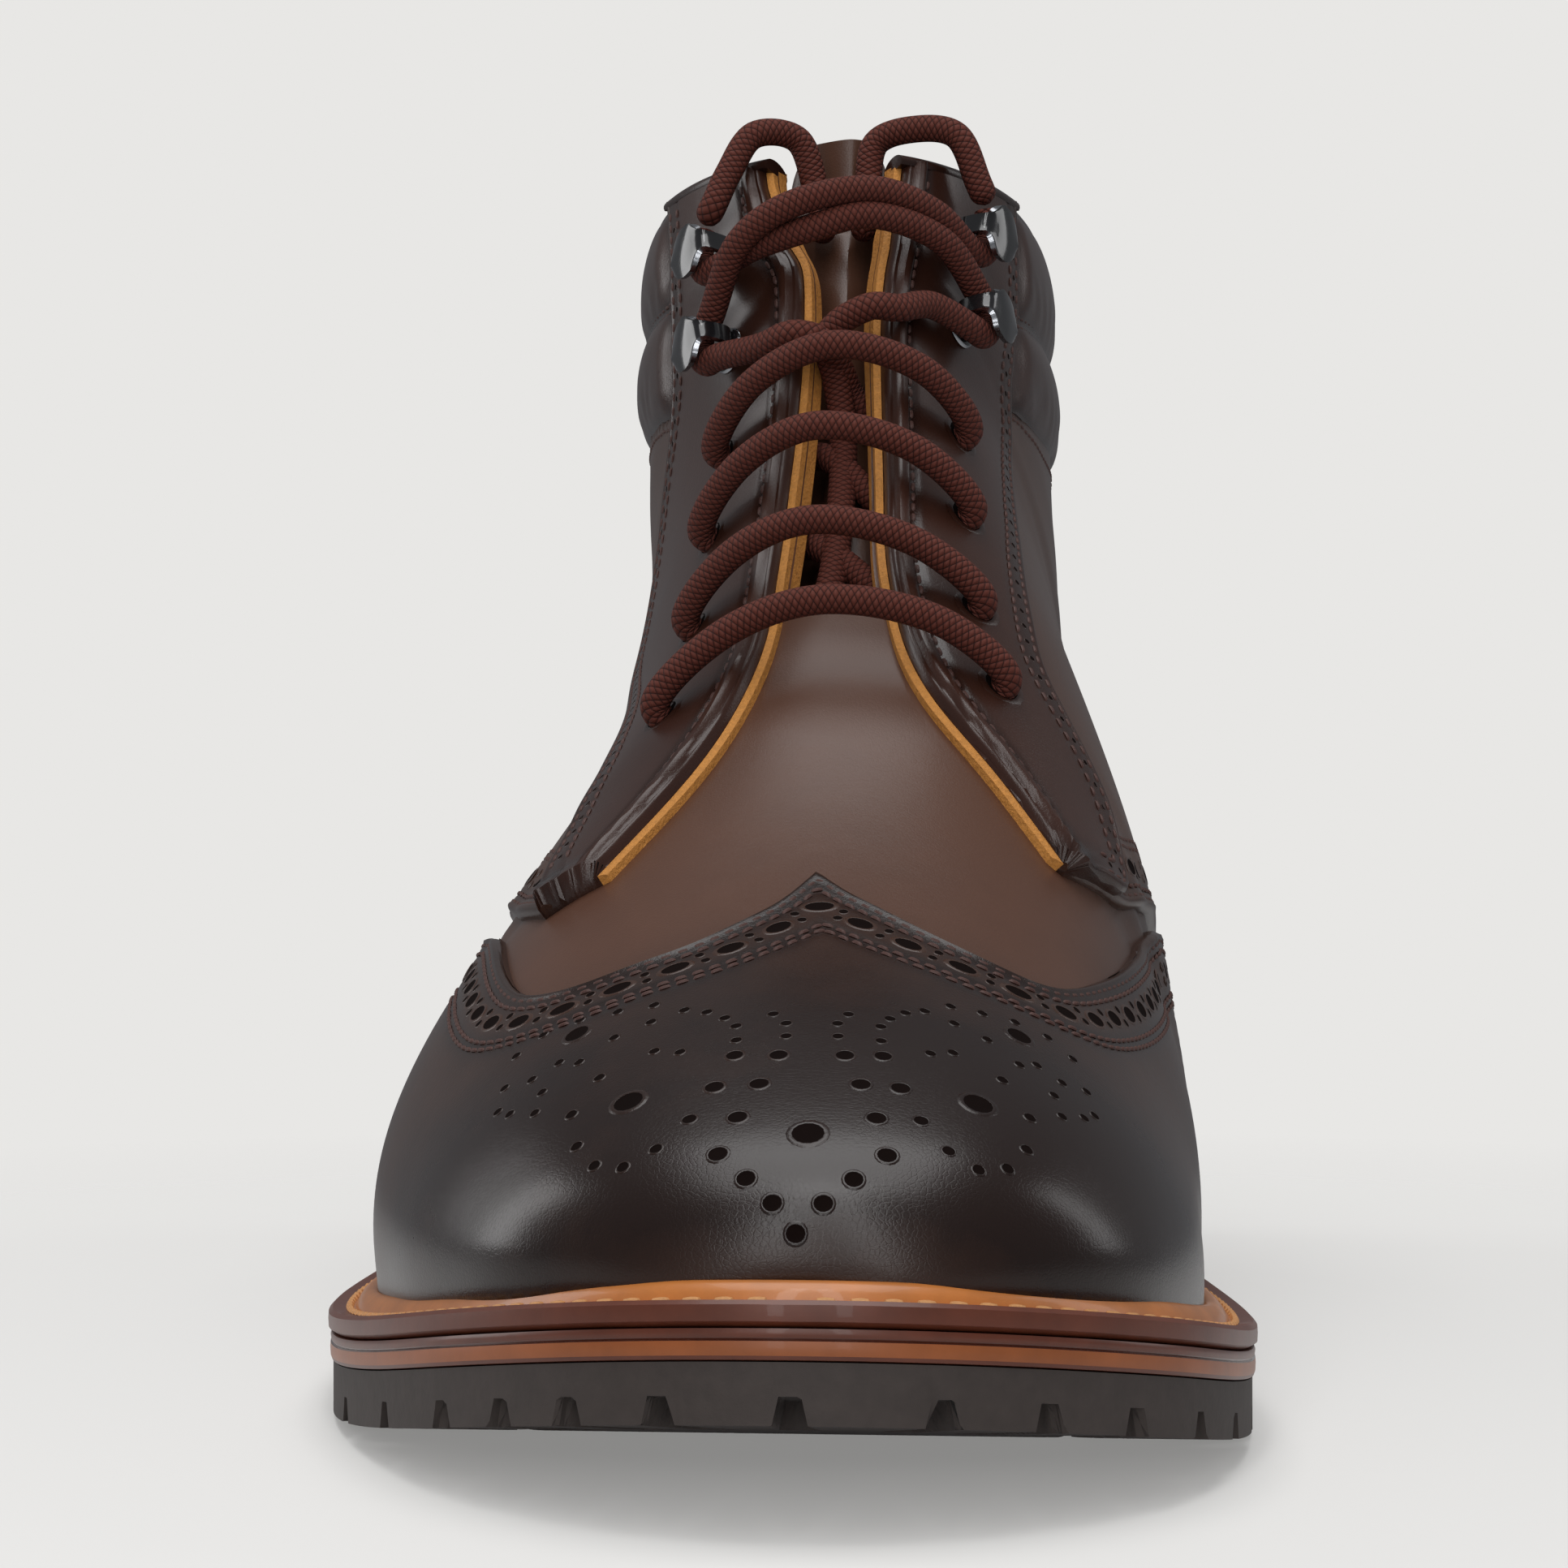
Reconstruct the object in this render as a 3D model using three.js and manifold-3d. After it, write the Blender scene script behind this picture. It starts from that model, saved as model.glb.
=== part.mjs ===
// Brogue boot, wearer's right: millimetres, +Z up, toe towards -Y, medial side towards +X.
// The upper is one function of a row and a side place; each overlay is cut from a layer
// that follows the same function.
import * as THREE from 'three';
import { mergeVertices } from 'three/addons/utils/BufferGeometryUtils.js';
import Module from 'manifold-3d';

const wasm = await Module();
wasm.setup();
const { Manifold } = wasm;

// Driving sizes
const soleLength = 308;
const ballWidth = 104;
const upperHeight = 152;
const heelRise = 21.2;
const toeSpring = 13;
const heelLength = 92;
const topPieceHeight = 11;
const weltThickness = 2.8;
const weltOverhang = 6.4;
const heelOverhang = 4.2;
const beadHeight = 2.3;
const beadWidth = 3;
const midsoleThickness = 3.4;
const rubberThickness = 6.2;
const lugDepth = 3;
const insoleThickness = 3;
const leather = 1.2;
const wall = 2;
const tongueThickness = 2;
const padHeight = 1.6;
const padDepth = 1.2;
const laceDiameter = 4;
const hookPlate = 4.2;
const hookLip = 4.1;
const hookMetal = 0.8;
const neckRadius = 1.3;

// Clearances
const layerGap = 0.3;
const seatGap = 1.3;
const flatGap = 0.1;
const laceGap = 0.45;
const insideGap = 1.4;
const cutReach = 5;

// Tables
// Shares are in thousandths. Height of the welt's top: t of the sole's length from its toe
// tip, spring of the toe's lift and rise of the heel's.
const weltLine = [
  { t: 0, spring: 1000, rise: 0 },
  { t: 65, spring: 708, rise: 0 },
  { t: 130, spring: 438, rise: 0 },
  { t: 195, spring: 223, rise: 0 },
  { t: 260, spring: 77, rise: 0 },
  { t: 318, spring: 0, rise: 0 },
  { t: 416, spring: 0, rise: 0 },
  { t: 487, spring: 0, rise: 104 },
  { t: 584, spring: 0, rise: 368 },
  { t: 666, spring: 0, rise: 642 },
  { t: 731, spring: 0, rise: 821 },
  { t: 812, spring: 0, rise: 925 },
  { t: 909, spring: 0, rise: 972 },
  { t: 1006, spring: 0, rise: 1000 },
];

// Feather line, where the upper meets the welt, at even stations from toe to heel: shares
// of the ball's width.
const feather = [
  { lateral: 77, medial: 77 },
  { lateral: -53, medial: 207 },
  { lateral: -168, medial: 322 },
  { lateral: -277, medial: 417 },
  { lateral: -371, medial: 469 },
  { lateral: -452, medial: 494 },
  { lateral: -504, medial: 492 },
  { lateral: -512, medial: 456 },
  { lateral: -464, medial: 381 },
  { lateral: -404, medial: 315 },
  { lateral: -373, medial: 296 },
  { lateral: -367, medial: 302 },
  { lateral: -362, medial: 302 },
  { lateral: -333, medial: 275 },
  { lateral: -262, medial: 205 },
  { lateral: -157, medial: 99 },
  { lateral: -29, medial: -29 },
];

// Sections of the upper from the toe to the collar. Each lies in a plane that runs from a
// front point on the ridge to the feather line or, past the heel, to the back seam. Shares: t
// of the feather line's length, rise of the upper's height above the seat, x and wide of the
// ball's width. Place at is on the feather line, wideAt on the section itself.
const sections = [
  { t: 2, rise: 14, x: 77, at: 0, wideL: 77, wideM: 77, wideAt: 0.92, roundL: 2, roundM: 2 },
  { t: 0, rise: 31, x: 77, at: 0.055, wideL: -48, wideM: 202, wideAt: 0.92, roundL: 2.05, roundM: 2.05 },
  { t: 1, rise: 57, x: 78, at: 0.1, wideL: -130, wideM: 288, wideAt: 0.92, roundL: 2.1, roundM: 2.1 },
  { t: 9, rise: 88, x: 80, at: 0.135, wideL: -202, wideM: 351, wideAt: 0.91, roundL: 2.1, roundM: 2.1 },
  { t: 23, rise: 119, x: 83, at: 0.17, wideL: -264, wideM: 404, wideAt: 0.9, roundL: 2.15, roundM: 2.15 },
  { t: 45, rise: 153, x: 84, at: 0.205, wideL: -317, wideM: 442, wideAt: 0.89, roundL: 2.15, roundM: 2.15 },
  { t: 76, rise: 194, x: 80, at: 0.245, wideL: -375, wideM: 471, wideAt: 0.88, roundL: 2.15, roundM: 2.15 },
  { t: 115, rise: 241, x: 71, at: 0.285, wideL: -423, wideM: 490, wideAt: 0.86, roundL: 2.1, roundM: 2.1 },
  { t: 162, rise: 292, x: 62, at: 0.325, wideL: -466, wideM: 495, wideAt: 0.84, roundL: 2.1, roundM: 2.1 },
  { t: 209, rise: 343, x: 52, at: 0.365, wideL: -495, wideM: 495, wideAt: 0.82, roundL: 2.1, roundM: 2.15 },
  { t: 256, rise: 400, x: 44, at: 0.405, wideL: -505, wideM: 500, wideAt: 0.82, roundL: 2.05, roundM: 2.2 },
  { t: 303, rise: 469, x: 38, at: 0.445, wideL: -500, wideM: 495, wideAt: 0.82, roundL: 1.9, roundM: 2.2 },
  { t: 347, rise: 545, x: 34, at: 0.49, wideL: -471, wideM: 481, wideAt: 0.8, roundL: 1.75, roundM: 2.3 },
  { t: 384, rise: 614, x: 31, at: 0.54, wideL: -428, wideM: 462, wideAt: 0.78, roundL: 1.65, roundM: 2.3 },
  { t: 417, rise: 684, x: 29, at: 0.6, wideL: -389, wideM: 428, wideAt: 0.74, roundL: 1.6, roundM: 2.2 },
  { t: 446, rise: 752, x: 28, at: 0.67, wideL: -361, wideM: 389, wideAt: 0.7, roundL: 1.65, roundM: 2.1 },
  { t: 469, rise: 816, x: 27, at: 0.75, wideL: -337, wideM: 356, wideAt: 0.64, roundL: 1.75, roundM: 2 },
  { t: 486, rise: 867, x: 26, at: 0.84, wideL: -322, wideM: 332, wideAt: 0.58, roundL: 1.9, roundM: 1.95 },
  { t: 496, rise: 901, x: 25, at: 0.92, wideL: -312, wideM: 322, wideAt: 0.53, roundL: 2, roundM: 1.95 },
  { t: 503, rise: 921, x: 25, at: 1, wideL: -303, wideM: 312, wideAt: 0.48, roundL: 2.05, roundM: 1.95 },
  { t: 508, rise: 938, x: 24, at: 1, wideL: -312, wideM: 312, wideAt: 0.47, roundL: 2.05, roundM: 1.95 },
  { t: 513, rise: 955, x: 24, at: 1, wideL: -312, wideM: 303, wideAt: 0.47, roundL: 2.05, roundM: 1.95 },
  { t: 518, rise: 970, x: 24, at: 1, wideL: -312, wideM: 298, wideAt: 0.46, roundL: 2.05, roundM: 2 },
  { t: 522, rise: 984, x: 24, at: 1, wideL: -312, wideM: 293, wideAt: 0.47, roundL: 2, roundM: 2 },
  { t: 526, rise: 995, x: 24, at: 1, wideL: -308, wideM: 288, wideAt: 0.48, roundL: 2, roundM: 2 },
  { t: 529, rise: 1008, x: 24, at: 1, wideL: -308, wideM: 284, wideAt: 0.49, roundL: 1.95, roundM: 2 },
];
// Roundness of the sections' rear half, by section row.
const rearRound = [
  { row: 0, round: 1 },
  { row: 15, round: 1 },
  { row: 16, round: 1 },
  { row: 17, round: 1.15 },
  { row: 18, round: 1.5 },
  { row: 19, round: 2 },
  { row: 20, round: 2.1 },
  { row: 25, round: 2.1 },
];
// Back seam above the heel seat, by section row: t is a share of the sole's length from the
// feather line's heel end.
const seam = [
  { row: 19, t: 0, rise: 0, x: -29 },
  { row: 20, t: 5, rise: 99, x: -29 },
  { row: 21, t: 1, rise: 230, x: -27 },
  { row: 22, t: -12, rise: 376, x: -24 },
  { row: 23, t: -27, rise: 528, x: -20 },
  { row: 24, t: -39, rise: 673, x: -17 },
  { row: 25, t: -45, rise: 824, x: -15 },
];

// Edge of the wing cap: section row at places out from the ridge.
const wingEdge = [
  { place: 0, lateral: 9.42, medial: 9.42 },
  { place: 0.025, lateral: 8.93, medial: 9.1 },
  { place: 0.05, lateral: 8.64, medial: 8.89 },
  { place: 0.09, lateral: 8.32, medial: 8.63 },
  { place: 0.14, lateral: 8.15, medial: 8.43 },
  { place: 0.19, lateral: 8.09, medial: 8.36 },
  { place: 0.235, lateral: 8.27, medial: 8.47 },
  { place: 0.262, lateral: 8.7, medial: 8.72 },
  { place: 0.29, lateral: 9.7, medial: 9.12 },
  { place: 0.33, lateral: 10.7, medial: 9.85 },
  { place: 0.377, lateral: 11.4, medial: 10.9 },
  { place: 0.45, lateral: 12.4, medial: 12.2 },
  { place: 0.55, lateral: 13.35, medial: 13.25 },
  { place: 0.7, lateral: 14.15, medial: 14.15 },
  { place: 0.85, lateral: 14.6, medial: 14.6 },
  { place: 1, lateral: 14.8, medial: 14.8 },
  { place: 1.06, lateral: 14.85, medial: 14.85 },
];
// Places of the facing's front and rear edges and of the quarter's lower edge, by row.
const lateralEdges = [
  { row: 10.04, front: 0.19, rear: 0.252, low: 0.252 },
  { row: 10.5, front: 0.158, rear: 0.254, low: 0.29 },
  { row: 11.2, front: 0.117, rear: 0.252, low: 0.335 },
  { row: 12, front: 0.091, rear: 0.253, low: 0.39 },
  { row: 12.6, front: 0.084, rear: 0.262, low: 0.438 },
  { row: 13.4, front: 0.087, rear: 0.285, low: 0.525 },
  { row: 14, front: 0.087, rear: 0.31, low: 0.62 },
  { row: 14.5, front: 0.085, rear: 0.325, low: 0.75 },
  { row: 14.9, front: 0.081, rear: 0.329, low: 0.88 },
  { row: 15.2, front: 0.078, rear: 0.332, low: 1.06 },
  { row: 16, front: 0.07, rear: 0.335, low: 1.06 },
  { row: 18.3, front: 0.061, rear: 0.322, low: 1.06 },
  { row: 20, front: 0.082, rear: 0.315, low: 1.06 },
  { row: 22, front: 0.11, rear: 0.32, low: 1.06 },
  { row: 25.4, front: 0.142, rear: 0.362, low: 1.06 },
];
const medialEdges = [
  { row: 10.7, front: 0.252, rear: 0.26, low: 0.26 },
  { row: 11, front: 0.205, rear: 0.31, low: 0.312 },
  { row: 11.2, front: 0.176, rear: 0.34, low: 0.344 },
  { row: 11.6, front: 0.119, rear: 0.338, low: 0.385 },
  { row: 12.1, front: 0.078, rear: 0.305, low: 0.425 },
  { row: 12.8, front: 0.058, rear: 0.24, low: 0.48 },
  { row: 13.4, front: 0.052, rear: 0.23, low: 0.54 },
  { row: 14, front: 0.053, rear: 0.236, low: 0.63 },
  { row: 14.5, front: 0.056, rear: 0.245, low: 0.76 },
  { row: 14.9, front: 0.058, rear: 0.254, low: 0.89 },
  { row: 15.2, front: 0.06, rear: 0.26, low: 1.06 },
  { row: 17, front: 0.07, rear: 0.297, low: 1.06 },
  { row: 19.8, front: 0.087, rear: 0.323, low: 1.06 },
  { row: 22, front: 0.1, rear: 0.357, low: 1.06 },
  { row: 25.4, front: 0.116, rear: 0.378, low: 1.06 },
];
// Front edge of the heel counter, by row.
const counterEdge = [
  { row: 15.3, place: 1.04 },
  { row: 15.8, place: 0.94 },
  { row: 16.6, place: 0.84 },
  { row: 17.6, place: 0.765 },
  { row: 19, place: 0.715 },
  { row: 20, place: 0.735 },
  { row: 20.7, place: 0.79 },
  { row: 21.1, place: 0.87 },
  { row: 21.35, place: 1 },
];
const eyelets = [
  { name: 'row_1_lateral', v: 12.11, u: -0.18 },
  { name: 'row_2_lateral', v: 13.42, u: -0.186 },
  { name: 'row_3_lateral', v: 14.68, u: -0.192 },
  { name: 'row_4_lateral', v: 15.69, u: -0.182 },
  { name: 'row_1_medial', v: 12.2, u: 0.167 },
  { name: 'row_2_medial', v: 13.12, u: 0.146 },
  { name: 'row_3_medial', v: 14.4, u: 0.155 },
  { name: 'row_4_medial', v: 15.69, u: 0.173 },
];
const hooks = [
  { name: 'hook_lower_lateral', v: 17.36, u: -0.174 },
  { name: 'hook_upper_lateral', v: 20.64, u: -0.176 },
  { name: 'hook_lower_medial', v: 18.54, u: 0.2 },
  { name: 'hook_upper_medial', v: 22.09, u: 0.212 },
];

// Interpolation
// Natural cubic through the points (xs, ys).
function spline(xs, ys) {
  const n = xs.length;
  const m = new Array(n).fill(0);
  const c = new Array(n).fill(0);
  const d = new Array(n).fill(0);
  for (let i = 1; i < n - 1; i++) {
    const a = xs[i] - xs[i - 1];
    const b = xs[i + 1] - xs[i];
    const r = 6 * ((ys[i + 1] - ys[i]) / b - (ys[i] - ys[i - 1]) / a);
    const p = 2 * (a + b) - a * c[i - 1];
    c[i] = b / p;
    d[i] = (r - a * d[i - 1]) / p;
  }
  for (let i = n - 2; i > 0; i--) m[i] = d[i] - c[i] * m[i + 1];
  return (x) => {
    let i = 0;
    while (i < n - 2 && x > xs[i + 1]) i++;
    const h = xs[i + 1] - xs[i];
    const a = (xs[i + 1] - x) / h;
    const b = (x - xs[i]) / h;
    const bend = ((a ** 3 - a) * m[i] + (b ** 3 - b) * m[i + 1]) * h * h / 6;
    return a * ys[i] + b * ys[i + 1] + bend;
  };
}
const clamp = (value, low = 0, high = 1) => Math.min(Math.max(value, low), high);
const mix = (a, b, f) => a + (b - a) * f;
const range = (n) => Array.from({ length: n + 1 }, (_, i) => i / n);
// Curve of one column of a table against its key, flat past both ends.
function curveOf(table, name, key = 'row', unit = 1) {
  const curve = spline(table.map((row) => row[key]), table.map((row) => row[name] * unit));
  return (x) => curve(clamp(x, table[0][key], table[table.length - 1][key]));
}
const share = 0.001;
const numbered = sections.map((row, i) => ({ ...row, row: i }));
const spaced = feather.map((row, i) => ({ ...row, station: i / (feather.length - 1) }));
const heelRow = seam[0].row;
const topRow = sections.length - 1;

// Height of the welt's top and of the seat that the upper's lower edge stands on.
const springOf = curveOf(weltLine, 'spring', 't', share * toeSpring);
const riseOf = curveOf(weltLine, 'rise', 't', share * heelRise);
const soleEdge = weltThickness + midsoleThickness + rubberThickness;
function weltTop(t) {
  const place = t / soleLength / share;
  return soleEdge + springOf(place) + riseOf(place);
}
const seat = (t) => weltTop(t) - weltThickness + seatGap;

const featherStart = weltOverhang - 0.7;
const featherLength = soleLength - heelOverhang - 0.2 - featherStart;
const featherT = (w) => featherStart + featherLength * (1 - Math.cos(Math.PI * w)) / 2;
const featherL = curveOf(spaced, 'lateral', 'station', share * ballWidth);
const featherM = curveOf(spaced, 'medial', 'station', share * ballWidth);
const stationOf = curveOf(numbered.slice(0, heelRow + 1), 'at');

const frontShare = curveOf(numbered, 't', 'row', share * featherLength);
const frontT = (row) => featherStart + frontShare(row);
const frontRise = curveOf(numbered, 'rise', 'row', share * upperHeight);
const frontZ = (row) => seat(frontT(row)) + frontRise(row);
const frontX = curveOf(numbered, 'x', 'row', share * ballWidth);
const wideL = curveOf(numbered, 'wideL', 'row', share * ballWidth);
const wideM = curveOf(numbered, 'wideM', 'row', share * ballWidth);
const wideAt = curveOf(numbered, 'wideAt');
const roundL = curveOf(numbered, 'roundL');
const roundM = curveOf(numbered, 'roundM');
const roundB = curveOf(rearRound, 'round');
const seamBack = curveOf(seam, 't', 'row', share * soleLength);
const seamT = (row) => featherStart + featherLength + seamBack(row);
const seamRise = curveOf(seam, 'rise', 'row', share * upperHeight);
const seamZ = (row) => seat(seamT(row)) + seamRise(row);
const seamX = curveOf(seam, 'x', 'row', share * ballWidth);

// The upper's surface
const sideSplit = 0.6;
const riseAbove = 10;
const dropBelow = 60;
// Point at section row v and side place u: -1 lateral end, 0 front ridge, 1 medial end.
// Places past the collar or past the feather line run straight on up or down.
function surface(v, u) {
  const row = clamp(v, 0, topRow);
  const lateral = u < 0;
  const a = Math.min(Math.abs(u), 1);
  const beyond = riseAbove * Math.max(v - topRow, 0) - dropBelow * (Math.abs(u) - a);
  let endT = seamT(row);
  let endZ = seamZ(row);
  let endX = seamX(row);
  if (row < heelRow) {
    const w = clamp(stationOf(row));
    endT = featherT(w);
    endZ = seat(endT);
    endX = lateral ? featherL(w) : featherM(w);
  }
  const wide = lateral ? wideL(row) : wideM(row);
  const ridge = frontX(row);
  const at = wideAt(row);
  let x;
  let p;
  if (a < sideSplit) {
    const angle = a / sideSplit * Math.PI / 2;
    const power = 2 / (lateral ? roundL(row) : roundM(row));
    x = mix(ridge, wide, Math.sin(angle) ** power);
    p = at * (1 - Math.cos(angle) ** power);
  } else {
    const angle = (a - sideSplit) / (1 - sideSplit) * Math.PI / 2;
    x = mix(endX, wide, Math.max(Math.cos(angle), 0) ** (2 / roundB(row)));
    p = mix(at, 1, Math.sin(angle));
  }
  return new THREE.Vector3(
    x,
    mix(frontT(row), endT, p) - soleLength / 2,
    mix(frontZ(row), endZ, p) + beyond,
  );
}
function normal(v, u) {
  const row = clamp(v, 0.06, topRow - 0.001);
  const place = clamp(u, -0.995, 0.995);
  const e = 0.004;
  const du = surface(row, place + e).sub(surface(row, place - e));
  const dv = surface(row + e, place).sub(surface(row - e, place));
  return du.cross(dv).normalize();
}
const offset = (v, u, d) => surface(v, u).addScaledVector(normal(v, u), d);
// Frame on the surface at a place: out along the normal, across away from the ridge.
function frameAt(v, u) {
  const out = normal(v, u);
  const e = 0.004;
  const sign = Math.sign(u) || 1;
  const along = surface(v, u + e).sub(surface(v, u - e)).normalize().multiplyScalar(sign);
  const across = along.addScaledVector(out, -along.dot(out)).normalize();
  return { out, across, up: out.clone().cross(across).multiplyScalar(sign) };
}
// Point at a height over a place, moved across and up on the surface.
function at(v, u, height, shift = 0, rise = 0) {
  const { out, across, up } = frameAt(v, u);
  return surface(v, u).addScaledVector(out, height).addScaledVector(across, shift).addScaledVector(up, rise);
}

// Solids
// Thick sheet over grids of (v, u) places between two distances from the surface.
function sheet(grids, inner, outer) {
  const near = [];
  const far = [];
  const faces = [];
  const seen = new Map();
  const vertex = ({ v, u, low = inner, high = outer }) => {
    const key = surface(v, u).toArray().map((n) => Math.round(n * 500)).join();
    if (!seen.has(key)) {
      seen.set(key, far.length);
      far.push(offset(v, u, high));
      near.push(offset(v, u, low));
    }
    return seen.get(key);
  };
  for (const grid of grids) {
    const index = grid.map((row) => row.map(vertex));
    for (let r = 0; r < index.length - 1; r++) {
      for (let c = 0; c < index[r].length - 1; c++) {
        const [a, b] = [index[r][c], index[r][c + 1]];
        const [d, e] = [index[r + 1][c], index[r + 1][c + 1]];
        faces.push([a, b, e], [a, e, d]);
      }
    }
  }
  return thicken(far, near, faces.filter(([a, b, c]) => a !== b && b !== c && a !== c));
}
// Closed solid from a faced sheet, its partner sheet and walls along the open edges.
function thicken(far, near, faces) {
  const count = far.length;
  const triangles = [];
  const edges = new Map();
  for (const [a, b, c] of faces) {
    triangles.push([a, b, c], [a + count, c + count, b + count]);
    for (const [p, q] of [[a, b], [b, c], [c, a]]) edges.set(`${p},${q}`, [p, q]);
  }
  for (const [p, q] of edges.values()) {
    if (edges.has(`${q},${p}`)) continue;
    triangles.push([q, p, p + count], [q, p + count, q + count]);
  }
  return solid([...far, ...near], triangles);
}
function solid(points, triangles) {
  const mesh = new wasm.Mesh({
    numProp: 3,
    vertProperties: new Float32Array(points.flatMap((p) => [p.x, p.y, p.z])),
    triVerts: new Uint32Array(triangles.flat()),
  });
  mesh.merge();
  const body = new Manifold(mesh);
  return body.volume() < 0 ? new Manifold(flipped(mesh)) : body;
}
function flipped(mesh) {
  const turned = mesh.triVerts.slice();
  for (let i = 0; i < turned.length; i += 3) [turned[i], turned[i + 1]] = [turned[i + 1], turned[i]];
  const copy = new wasm.Mesh({ numProp: 3, vertProperties: mesh.vertProperties, triVerts: turned });
  copy.merge();
  return copy;
}
// Solid of a closed geometry.
function solidOf(geometry) {
  geometry.deleteAttribute('normal');
  geometry.deleteAttribute('uv');
  const merged = mergeVertices(geometry, 1e-4);
  return new Manifold(new wasm.Mesh({
    numProp: 3,
    vertProperties: merged.attributes.position.array,
    triVerts: new Uint32Array(merged.index.array),
  }));
}
// Closed solid from rings of equal length, capped at both ends.
function skin(rings, looped = false) {
  const sides = rings[0].length;
  const triangles = [];
  const last = looped ? rings.length : rings.length - 1;
  for (let r = 0; r < last; r++) {
    const next = (r + 1) % rings.length;
    for (let s = 0; s < sides; s++) {
      const [a, b] = [r * sides + s, r * sides + (s + 1) % sides];
      const [d, e] = [next * sides + s, next * sides + (s + 1) % sides];
      triangles.push([a, b, e], [a, e, d]);
    }
  }
  if (!looped) {
    const end = (rings.length - 1) * sides;
    for (let s = 1; s < sides - 1; s++) {
      triangles.push([0, s + 1, s], [end, end + s, end + s + 1]);
    }
  }
  return solid(rings.flat(), triangles);
}
// Tube of a regular section along points, with its steps shared evenly between them.
function tube(points, radius, sides, steps) {
  const corners = range(sides).slice(0, sides).map((f) => {
    return new THREE.Vector2(radius * Math.cos(f * Math.PI * 2), radius * Math.sin(f * Math.PI * 2));
  });
  const extrudePath = new THREE.CatmullRomCurve3(points, false, 'centripetal');
  extrudePath.getPointAt = extrudePath.getPoint;
  extrudePath.getTangentAt = extrudePath.getTangent;
  return solidOf(new THREE.ExtrudeGeometry(new THREE.Shape(corners), { steps, extrudePath }));
}
// Round post that stands on the surface between two heights.
function post({ v, u }, from, to, radius, sides, shift = 0) {
  const { out, across } = frameAt(v, u);
  const geometry = new THREE.CylinderGeometry(radius, radius, to - from, sides);
  const turn = new THREE.Matrix4().makeBasis(across, out, across.clone().cross(out));
  geometry.applyMatrix4(turn.setPosition(at(v, u, (from + to) / 2, shift)));
  return solidOf(geometry);
}
const largest = (body) => body.decompose().sort((a, b) => b.volume() - a.volume())[0];

// Layers of the upper
const upperRows = [0, 0.5, 1.2, 2.4, 3.8, 5.4, 7.2, 9, 10.7, 12.2, 13.6, 15, 16.6, 18, 19, 20.6, 22.6, 25];
const upperSides = range(14).map((f) => f * 2 - 1);
const wholeGrid = upperRows.map((v) => upperSides.map((u) => ({ v, u })));
const topEdge = topRow + 0.4;
const shellOuter = -layerGap - leather;
const shellInner = shellOuter - wall;
const facingTop = layerGap + leather;
const overVamp = sheet([wholeGrid], -leather, 0);
const overQuarter = sheet([wholeGrid], layerGap, facingTop);
const edges = Object.fromEntries([[-1, lateralEdges], [1, medialEdges]].map(([sign, table]) => {
  return [sign, Object.fromEntries(['front', 'rear', 'low'].map((name) => [name, curveOf(table, name)]))];
}));
// Steps in the order that keeps both sides of the boot facing the same way.
const sided = (sign, steps) => sign < 0 ? [...steps].reverse() : steps;
// Region of the surface between two places on each row, as a cutter.
function region(rows, from, to, sign, steps) {
  const grid = rows.map((v) => range(steps).map((f) => ({ v, u: sign * mix(from(v), to(v), f) })));
  return sheet([grid], -cutReach, cutReach);
}
// Room around the upper's wall and the layers on it, carried below the feather line.
const aroundGrid = [...upperRows, topEdge].map((v) => [-1, ...upperSides, 1].map((u, i, all) => {
  const edge = v <= heelRow && (i === 0 || i === all.length - 1);
  return { v, u: edge ? u * 1.04 : u };
}));
const around = (low, high) => sheet([aroundGrid], low, high);

// Eyelet holes
const laceRadius = laceDiameter / 2;
const laceHole = laceRadius + 1.3;
const holes = Manifold.union(eyelets.map((place) => post(place, -7, 4, laceHole, 6)));

// Upper
const throatRows = [12.9, 13.2, 14, 15, 16, 17, 18, 19, 20, 21, 22, 23, 24, topEdge];
const throatInset = 0.012;
const throatDepth = 9;
function throat() {
  const half = (v, sign) => edges[sign].front(v) - throatInset;
  const grid = throatRows.map((v) => range(6).map((f) => ({ v, u: mix(-half(v, -1), half(v, 1), f) })));
  return sheet([grid], -throatDepth, cutReach);
}
const upper = () => sheet([wholeGrid], shellInner, shellOuter).subtract(throat()).subtract(holes);

// Wing cap
function wingCap() {
  const lateral = curveOf(wingEdge, 'lateral', 'place');
  const medial = curveOf(wingEdge, 'medial', 'place');
  const out = wingEdge.slice(1).map((row) => row.place);
  const places = [...[...out].reverse().map((place) => -place), wingEdge[0].place, ...out];
  const grid = range(7).map((f) => places.map((u) => ({ v: f * (u < 0 ? lateral(-u) : medial(u)), u })));
  return overVamp.intersect(sheet([grid], -cutReach, cutReach));
}

// Padded collar: two rolls round the back, from facing to facing.
const collarFoot = 0.8;
const collarDrop = 4;
// The row on which the surface reaches a height, at a place.
function rowAtHeight(u, z) {
  let low = 12;
  let high = topRow;
  for (let i = 0; i < 24; i++) {
    const middle = (low + high) / 2;
    if (surface(middle, u).z < z) low = middle;
    else high = middle;
  }
  return (low + high) / 2;
}
function collarGrid(sign, low, high, trim = 0) {
  const start = (v) => edges[sign].rear(v) + 0.008 - trim;
  const foot = soleEdge + collarFoot * upperHeight;
  return range(8).map((f) => sided(sign, range(5)).map((g) => {
    const guess = mix(start(20), 1, g);
    const bottom = rowAtHeight(sign * guess, foot - collarDrop * g) - trim * 6;
    const v = mix(bottom, topRow + trim * 20, f);
    const u = sign * mix(start(Math.min(v, topRow)), 1, g);
    const roll = Math.abs(Math.sin(f * Math.PI * 2)) ** 0.6;
    return { v, u, low, high: high ?? -layerGap + (padHeight + layerGap) * roll };
  }));
}
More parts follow.
